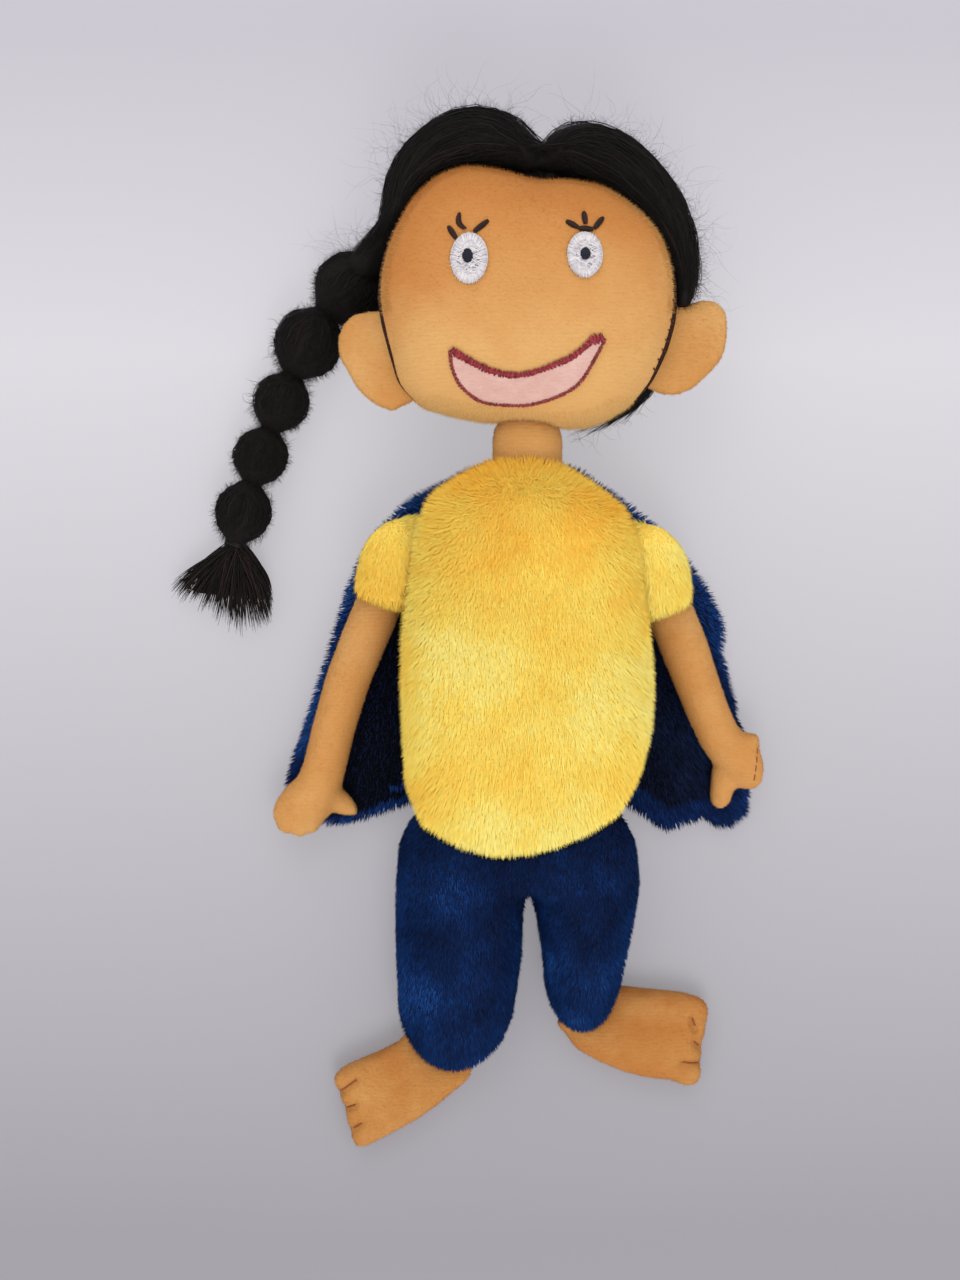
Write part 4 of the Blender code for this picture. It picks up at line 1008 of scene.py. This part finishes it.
# the hair behind the head is combed over to the root of the braid
root = Vector((-0.0506, 0.2204, 0.0075))
backLocks = []
for _ in range(hair["back"]):
    start = Vector((luck.uniform(-0.045, 0.05), luck.uniform(0.17, 0.256), -0.02))
    sweep = [start.lerp(Vector((root.x + luck.gauss(0, 0.004), root.y + luck.gauss(0, 0.006), 0.0)), n / 9)
             for n in range(10)]
    strand = []
    for n, aim in enumerate(sweep):
        aim = Vector((aim.x, aim.y + 0.006 * math.sin(n / 9 * 3.1), -0.01))
        place, facing, _, _ = crownTree.find_nearest(aim)
        strand.append(place + facing * luck.uniform(0.0001, 0.0003))
    backLocks.append((strand, luck.choices(range(4), hair["shades"])[0], luck.uniform(0.8, 1.5), 0.15))
wisps = []
for side in ("left", "right"):
    wisps += loose(crownTree, lambda: outside(side), hair["loose"], 0.024, (0.2, 0.36))
    wisps += loose(crownTree, lambda: outside(side), hair["short"], 0.008, (0.3, 0.7))
crownFrizz = piled("hair_frizz", crown, mohair, frizz)
crownStrands = strands("hair_strands", locks, mohair, hair["strand"])
backStrands = strands("hair_back_strands", backLocks, mohair, hair["strand"] * 1.3)
crownWisps = strands("hair_wisps", wisps, mohair, hair["fine"])

# the wisp that has slipped out under the right of the chin
chin = {"hairs": 130, "stray": 70, "shades": (4, 5, 3, 2), "height": 0.030,
        "route": ((661, 368), (650, 387), (635, 402), (615, 414), (594, 424), (568, 432))}
chinRoute = [seen(px, py, chin["height"]) for px, py in chin["route"]]
locks = []
for _ in range(chin["hairs"]):
    first, last = luck.uniform(0.0, 0.25), luck.uniform(0.45, 1.0)
    aside = strayed(0.0009, 0.0009, 0.0015)
    spread = Vector((luck.gauss(0, 0.0016), luck.gauss(-0.0004, 0.0016), luck.gauss(0, 0.002)))
    strand = [along(chinRoute, first + (last - first) * k / 9) + aside + spread * (k / 9) ** 2 for k in range(10)]
    locks.append((strand, luck.choices(range(4), chin["shades"])[0], luck.uniform(0.7, 1.3), 0.15))
chinWisp = strands("hair_wisp_chin", locks, mohair, hair["strand"])
chinStray = loose(tree(chinWisp), lambda: along(chinRoute, luck.random()) + Vector((0.001, -0.004, 0)),
                  chin["stray"], 0.011)
chinStray = strands("hair_strays_chin", chinStray, mohair, hair["fine"])
for piece in (crown, crownFrizz, crownStrands, backStrands, crownWisps, chinWisp, chinStray):
    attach(piece, "head")
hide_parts("hair_back", "hair_roll_left", "hair_roll_right")
print("hair", len(crownStrands.data.polygons), "faces")

# Braid

knots = [(-0.0506, 0.2204), (-0.07125, 0.2039), (-0.08305, 0.1807), (-0.0912, 0.1604), (-0.0982, 0.1408),
         (-0.10405, 0.11895)]
knots = [Vector((x, y, 0.0078)) for x, y in knots]
braid = {"halves": (0.0122, 0.0108, 0.0088, 0.0085, 0.0088), "high": 0.0085, "middle": 0.0088, "wisps": 90,
         "swell": ((-0.06, 0.30), (0.06, 0.52), (0.2, 1.04), (0.42, 1.12), (0.62, 1.12), (0.82, 0.98), (0.95, 0.52),
                   (1.05, 0.30)), "frizz": {"density": 1.6, "length": 0.0036}}
tie = {"turns": 4, "steps": 20, "pitch": 0.0007, "wide": 0.0037, "high": 0.0033, "thread": 0.0004}

for n in range(1, 6):
    start, end = knots[n - 1], knots[n]
    half = braid["halves"][n - 1]
    places = [(*start.lerp(end, share).xy, braid["middle"], half * wide) for share, wide in braid["swell"]]
    lobe = roll(f"braid_bubble_{n}", places, 0.86)
    lobe = dressed(wrapped(f"braid_bubble_{n}", [lobe], 0.0013), hairBase)
    lobe.data.shade_smooth()
    bvh = tree(lobe)
    halves = [half * k for k in (0.3, 0.85, 1.05, 1.05, 0.85, 0.3)]
    middle = (start + end) / 2
    locks = combed(bvh, [start, start.lerp(end, 0.33), start.lerp(end, 0.66), end], halves, braid["high"],
                   hair["lobe"], (0.0, 0.0007), 8, 0.35, True)
    locks += loose(bvh, lambda: middle + strayed(0.01, 0.01, 0.004), braid["wisps"], 0.008)
    locks = strands(f"braid_strands_{n}", locks, mohair, hair["strand"])
    fuzz = piled(f"braid_frizz_{n}", lobe, mohair, {**frizz, **braid["frizz"], "seed": 150 + n})
    ahead = (end - start).normalized()
    side, up = ahead.cross(Vector((0, 0, 1))), Vector((0, 0, 1))
    loops = []
    for turn in range(tie["turns"]):
        loop = []
        for k in range(tie["steps"] + 1):
            a = 2 * math.pi * k / tie["steps"]
            step = ahead * (turn - 1.5 + k / tie["steps"]) * tie["pitch"]
            loop.append(end + step + side * math.cos(a) * tie["wide"] + up * math.sin(a) * tie["high"])
        loops.append((loop, turn, 1.0, 1.0))
    loops = strands(f"braid_thread_{n}", loops, tieThread, tie["thread"], 1)
    for piece in (lobe, locks, fuzz, loops):
        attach(piece, f"braid_{n}")
    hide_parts(f"braid_lobe_{n}")
    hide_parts(f"braid_tie_{n}")

# the mass of the tassel ends well inside the tips of its hair, which fans out to these places in the picture
brush = {"over": 0.03, "drawn": 0.34, "shades": (4, 5, 5, 4), "height": 0.004,
         "ends": ((169, 590), (184, 594), (197, 600), (213, 610), (228, 617), (241, 625), (257, 623), (270, 615),
                  (272, 590))}
tassel = skinned("tassel_mass", ["braid_tassel"], 0.0012, 0.0006, 3)
for v in tassel.data.vertices:
    share = clamped((knots[5].y - v.co.y) / brush["over"])
    v.co += (knots[5] - v.co) * brush["drawn"] * share * share
dressed(tassel, hairBase).data.shade_smooth()
ends = [seen(px, py, brush["height"]) for px, py in brush["ends"]]
locks = []
for _ in range(hair["tassel"]):
    share = luck.random()
    goal = along(ends, share) + Vector((0, luck.gauss(0, 0.0016), 0))
    goal.z = luck.uniform(0.0008, 0.0075)
    top = knots[5] + strayed(0.0012, 0.0006, 0.0012)
    goal = top.lerp(goal, luck.uniform(0.7, 1.05) if luck.random() < 0.4 else luck.uniform(0.94, 1.03))
    bulge = Vector(((share - 0.5) * 0.006, -0.001, luck.uniform(-0.001, 0.0015)))
    strand = [top.lerp(goal, k / 8) + bulge * math.sin(math.pi * k / 8) for k in range(9)]
    locks.append((strand, luck.choices(range(4), brush["shades"])[0], luck.uniform(0.7, 1.5), 0.2))
tasselStrands = strands("tassel_strands", locks, mohair, hair["strand"] * 1.2)
for piece in (tassel, tasselStrands):
    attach(piece, "tassel")
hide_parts("braid_tassel")
print("braid")

# Cape: a sheet with long pile on the side that shows, and scalloped edges

# rim and thin: the width of the lit rim, thin below and left of dark, where the hem takes the painted shade
cape = {"flat": (0.170, 0.134), "rim": 0.0075, "thin": 0.0028, "dark": (0.02, 0.028),
        "scallops": [((702, 823), (702, 813)), ((728, 652), (721, 650)), ((742, 715), (735, 713))]}
capePile = {"density": 1.8, "length": 0.0034, "width": 0.0006, "lean": 1.0, "flow": (0, -1, 0), "spread": 0.45,
            "swirl": 2.0, "patch": 0.018, "contrast": 1.8, "mix": 1.0, "seed": 120,
            "fan": ((0.003, 0.07), (10.0, 10.0))}

capeSheet = dressed(skinned("cape_sheet", ["cape_outer", "cape_lining"], 0.0015, 0.0002, 2), blueBase)
drawn(capeSheet, cape["scallops"], 0.004, 0.0042)
capeSheet.data.shade_smooth()
capeTree = tree(capeSheet)
compass = [Vector((math.cos(k * math.pi / 4), math.sin(k * math.pi / 4), 0)) for k in range(8)]


def inLitRim(f):
    # within the width of the painted-light rim of the cape's outline, which is thin at the lower left, where the hem
    # takes the painted shade
    middle = f.calc_center_median()
    low = middle.y < cape["dark"][1] and middle.x < cape["dark"][0]
    places = [middle + way * cape["thin" if low else "rim"] + Vector((0, 0, 0.02)) for way in compass]
    return any(capeTree.ray_cast(place, Vector((0, 0, -1)))[0] is None for place in places)


# painted light and shade on one plush: lit tones along the rim, lighter towards the top, and shaded tones in the
# middle, lighter towards the right
capePiles = [
    piled("cape_pile_rim", capeSheet, litRimPile, {**capePile, "drift": ((0, 0.065, 0), (0, 20, 0))},
          lambda f: f.normal.z < -0.4 or not inLitRim(f)),
    piled("cape_pile_middle", capeSheet, shadedPile, {**capePile, "drift": ((0.054, 0, 0), (40, 0, 0))},
          lambda f: f.normal.z < -0.4 or inLitRim(f))]
for piece in (capeSheet, *capePiles):
    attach(piece, "cape")
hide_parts("cape_outer", "cape_lining")
print("cape")

# Embroidery on the face

whites = [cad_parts[f"eye_white_{side}"] for side in ("left", "right")]
carrier = joined([shown("carrier", part.data.copy()) for part in (face, *whites)])
faceTree = tree(carrier)
bpy.data.objects.remove(carrier)

eyes = {"left": {"middle": (469, 258), "half": (19, 25.5), "pupil": (468, 256), "black": (5, 7)},
        "right": {"middle": (585, 254.5), "half": (18, 23), "pupil": (585, 254), "black": (4.6, 6.2)},
        "rim": 120, "inside": 260, "dark": 9}  # the last three count stitches


def onFace(px, py, lift=0.0):
    flat = seen(px, py, 0.0585)
    place, facing = onTop(faceTree, flat.x, flat.y)
    # the picture's place moves a little with the height of the skin there
    flat = seen(px, py, place.z)
    place, facing = onTop(faceTree, flat.x, flat.y)
    return place + facing * lift, facing


def stitch(ends, lift, radius=1.0, shade=0, bow=0.0003, points=5):
    # one thread between two places on the face, arched over the cloth
    (x0, y0), (x1, y1) = ends
    path = []
    for k in range(points):
        share = k / (points - 1)
        place = (x0 + (x1 - x0) * share, y0 + (y1 - y0) * share)
        path.append(onFace(*place, lift + bow * math.sin(math.pi * share))[0])
    return path, shade, radius, 1.0


for side in ("left", "right"):
    eye = eyes[side]
    (cx, cy), (hx, hy) = eye["middle"], eye["half"]
    threads = []
    for k in range(eyes["rim"]):
        a = 2 * math.pi * (k + luck.uniform(-0.3, 0.3)) / eyes["rim"]
        out, inside = luck.uniform(0.92, 1.05), luck.uniform(0.5, 0.66)
        ends = [(cx + hx * r * math.cos(a), cy + hy * r * math.sin(a)) for r in (out, inside)]
        threads.append(stitch(ends, 0.0002, luck.uniform(0.7, 1.0), luck.randrange(3), 0.0003))
    for k in range(eyes["inside"]):
        a, r = luck.uniform(0, 2 * math.pi), math.sqrt(luck.random()) * 0.72
        x, y = cx + hx * r * math.cos(a), cy + hy * r * math.sin(a)
        lean = luck.uniform(-2.4, 2.4)
        threads.append(stitch(((x - 2.6, y + lean), (x + 2.6, y - lean)), 0.0003, luck.uniform(0.6, 0.9),
                              luck.randrange(3), 0.0003))
    white = strands(f"eye_threads_{side}", threads, whiteThread, 0.00022, 1)
    (cx, cy), (hx, hy) = eye["pupil"], eye["black"]
    threads = []
    for k in range(eyes["dark"]):
        x = cx - hx + 2 * hx * (k + 0.5) / eyes["dark"]
        reachUp = hy * math.sqrt(max(0.1, 1 - ((x - cx) / hx) ** 2))
        threads.append(stitch(((x, cy - reachUp), (x, cy + reachUp)), 0.0007, 1.0, k % 2, 0.0003))
    black = strands(f"pupil_threads_{side}", threads, darkThread, 0.0003, 1)
    dressed(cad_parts[f"eye_white_{side}"], eyeCloth)
    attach(white, "head")
    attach(black, "head")
    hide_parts(f"pupil_{side}")

lashes = {"left": [[(448.5, 226.6), (456.5, 238.8)], [(459.4, 213.3), (458.6, 221), (461, 226), (465.4, 229)],
                   [(488.5, 220.6), (473.9, 232.2)]],
          "right": [[(566, 221.3), (578, 227.8)], [(583.5, 212), (585.4, 224.2)], [(603, 217.7), (593.9, 229)],
                    [(578, 228.5), (593, 229.5)]]}
for side, lines in lashes.items():
    threads = []
    for line in lines:
        for k, offset in enumerate((-2.2, -1.1, 0.0, 1.1, 2.2)):
            path = []
            for n in range(7):
                at = along([(*p, 0) for p in line], n / 6)
                ahead = Vector((line[-1][0] - line[0][0], line[-1][1] - line[0][1], 0)).normalized()
                wide = offset * (0.55 + 0.45 * math.sin(math.pi * n / 6))
                lift = 0.0007 if k in (1, 2, 3) else 0.0004
                path.append(onFace(at.x - ahead.y * wide, at.y + ahead.x * wide, lift)[0])
            threads.append((path, luck.randrange(2), 1.0, 1.0))
    piece = strands(f"lashes_{side}", threads, lashThread, 0.00027, 1)
    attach(piece, "head")

# Mouth: a fleece patch with a satin edge

mouth = {"upper": [(452, 350), (466, 358), (477, 364), (488, 369), (501, 373), (515, 374.5), (528, 373),
                   (542, 369), (556, 363.5), (569, 358), (582, 349), (592, 340), (602, 338)],
         "lower": [(451, 353), (453, 368), (460.5, 384), (474, 396.5), (488, 402.5), (512, 404.5), (531, 403.5),
                   (555, 396.5), (574, 386.5), (585, 374), (593, 360), (600, 347), (604, 339)],
         "grid": (40, 8), "thick": 0.0011, "lift": 0.0009}
# each lip: stitches, least and most half length in the picture, and where along it that grows and by how much
lips = {"upper": (230, (1.9, 3.9), ((0, 0.05, 0.5, 0.9, 0.95, 1), (1.1, 1.2, 0.85, 1.0, 1.5, 1.4))),
        "lower": (210, (1.2, 2.2), ((0, 1), (1, 1)))}


def mouthEdge(line, share):
    # the place in the picture along one line of the mouth, and the way the line runs there
    points = [(*p, 0) for p in mouth[line]]
    ahead = along(points, min(share + 0.02, 1.0)) - along(points, max(share - 0.02, 0.0))
    return along(points, share), ahead.normalized()


def satin(line, count, width, ends, lean, shades, lift, bow):
    # short stitches across one line of the mouth, longer towards its ends
    threads = []
    for k in range(count):
        share = clamped((k + luck.uniform(-0.3, 0.3)) / (count - 1))
        at, ahead = mouthEdge(line, share)
        half = luck.uniform(*width) * float(np.interp(share, *ends))
        across = Vector((ahead.y, -ahead.x, 0)) * half + ahead * luck.uniform(-lean, lean)
        threads.append(stitch(((at + across).xy, (at - across).xy), lift, 1.0, luck.randrange(shades), bow, 4))
    return threads


bm = bmesh.new()
rows = []
acrossAll, downAll = mouth["grid"]
for k in range(acrossAll + 1):
    high, low = [mouthEdge(line, k / acrossAll)[0] for line in ("upper", "lower")]
    rows.append([bm.verts.new(onFace(*high.lerp(low, t / downAll).xy, mouth["lift"])[0]) for t in range(downAll + 1)])
for row, after in zip(rows, rows[1:]):
    for t in range(downAll):
        bm.faces.new((row[t], row[t + 1], after[t + 1], after[t]))
bmesh.ops.recalc_face_normals(bm, faces=bm.faces)
if sum(f.normal.z for f in bm.faces) < 0:
    bmesh.ops.reverse_faces(bm, faces=bm.faces)
fleece = written("mouth_fleece", bm, mouthFleece)
settled(modified(fleece, "SOLIDIFY", thickness=mouth["thick"], offset=-1)).data.shade_smooth()
fluff = piled("mouth_fluff", fleece, fleeceNap, {**armNap, "density": 2.0, "length": 0.0006, "seed": 97})
upper = strands("lip_upper", satin("upper", *lips["upper"], 2.0, 3, 0.0008, 0.0005), lipThread, 0.00024, 1)
lower = strands("lip_lower", satin("lower", *lips["lower"], 1.4, 2, 0.0008, 0.0004), lowerThread, 0.00022, 1)
for piece in (fleece, fluff):
    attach(piece, "head")
for piece in (upper, lower):
    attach(piece, "head")
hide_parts("mouth_patch")
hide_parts("lip_line")
print("embroidery")

# Seams: ladder stitches round the head, toes and the line on the right hand


def sewn(name, lines, skinTree, body, materials, radius, lift, height):
    threads = []
    for line in lines:
        path = []
        for k in range(7):
            at = along([(*p, 0) for p in line], k / 6)
            flat = seen(at.x, at.y, height)
            path.append(onTop(skinTree, flat.x, flat.y, lift)[0])
        threads.append((path, luck.randrange(3), 1.0, 1.0))
    made = strands(name, threads, materials, radius, 1)
    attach(made, body)
    return made


for side, lines in toes.items():
    foot = tree(bpy.data.objects[f"foot_skin_{side}"])
    sewn(f"toe_stitches_{side}", lines, foot, f"foot_{side}", toeThread, 0.00036, 0.0001, 0.012)
handLine = [[(758.5, 748), (758.5, 754)], [(758, 757), (758, 763)], [(757.5, 766), (757, 772)],
            [(756.5, 775), (756, 781)]]
sewn("hand_stitches", handLine, tree(bpy.data.objects["arm_skin_right"]), "arm_right", toeThread, 0.00025, 0.0001,
     0.02)

# up the right side of the head, each stitch from the face over the seam to the back
rungs = {"stitches": 10, "from": -32, "sweep": 36, "rise": 0.0012, "uneven": 0.0003, "thread": 0.00034}
backTree = tree(back)
ladder = []
for k in range(rungs["stitches"]):
    a = math.radians(rungs["from"] + rungs["sweep"] * k / (rungs["stitches"] - 1))
    out = Vector((math.cos(a), math.sin(a), 0))
    path = []
    for rise, bvh in ((rungs["rise"], faceTree), (0.0002, faceTree), (-rungs["rise"], backTree)):
        z = head["seam"] - seamDrop(0.05, headMiddle[1] + math.sin(a) * 0.045) + rise
        place, facing, _, _ = bvh.ray_cast(Vector((*headMiddle, z)) + out * 0.1, -out)
        if place:
            uneven = luck.uniform(-rungs["uneven"], rungs["uneven"])
            path.append(place + facing * 0.0003 + Vector((0, 0, uneven)))
    if len(path) == 3:
        ladder.append((path, luck.randrange(2), 1.0, 1.0))
ladder = strands("head_stitches", ladder, seamThread, rungs["thread"], 1)
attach(ladder, "head")
print("seams")

# Floor

stage = {"size": 3.0, "low": -0.0003, "bounce": (168, 166, 171), "paper": (124, 122, 127),
         "top": (154, 151, 159), "band": (180, 178, 182), "bottom": (82, 81, 86), "levels": (-0.14, 0.19, 0.31)}

# only to the eye, the sheet glows a little, most behind the head, so that its shadows stay faint
paper, paperTree = surface("floor_paper", Roughness=0.9, Emission_Strength=1.0)
where = node(paperTree, "ShaderNodeTexCoord", out="Object")
height = node(paperTree, "ShaderNodeSeparateXYZ", {}, {0: where}, 1)
low, middle, high = stage["levels"]
glow = mixed(paperTree, between(paperTree, height, low, middle), colour(*stage["bottom"]), colour(*stage["band"]))
glow = mixed(paperTree, between(paperTree, height, middle, high), glow, colour(*stage["top"]))
rays = node(paperTree, "ShaderNodeLightPath").out.node.outputs
direct = Socket(paperTree, rays["Is Camera Ray"]) + Socket(paperTree, rays["Is Glossy Ray"])
direct = direct + Socket(paperTree, rays["Is Transmission Ray"])
finish(paperTree, Base_Color=mixed(paperTree, direct, colour(*stage["bounce"]), colour(*stage["paper"])),
       Emission_Color=mixed(paperTree, direct, (0, 0, 0), glow))
bm = bmesh.new()
bmesh.ops.create_grid(bm, x_segments=2, y_segments=2, size=stage["size"] / 2)
bmesh.ops.translate(bm, verts=bm.verts, vec=(0, 0, stage["low"]))
floor = written("floor", bm, paper)

# Light: a pale room, a broad soft lamp beyond the feet and a weaker one beyond the head

light = {"room": 0.98, "key": (5.5, (0.12, -0.7, 0.95), 0.6), "fill": (3.0, (-0.15, 0.95, 0.8), 0.8)}

world = bpy.data.worlds.new("room")
world.use_nodes = True
background = world.node_tree.nodes["Background"].inputs
background["Color"].default_value = (1, 1, 1, 1)
background["Strength"].default_value = light["room"]
scene.world = world
for name in ("key", "fill"):
    power, place, size = light[name]
    lamp = bpy.data.lights.new(name, "AREA")
    lamp.shape, lamp.size, lamp.energy = "SQUARE", size, power
    holder = bpy.data.objects.new(name, lamp)
    holder.location = place
    holder.rotation_euler = (Vector((0, 0.08, 0)) - holder.location).to_track_quat("-Z", "Y").to_euler()
    collection.objects.link(holder)
scene.view_settings.view_transform = "Standard"
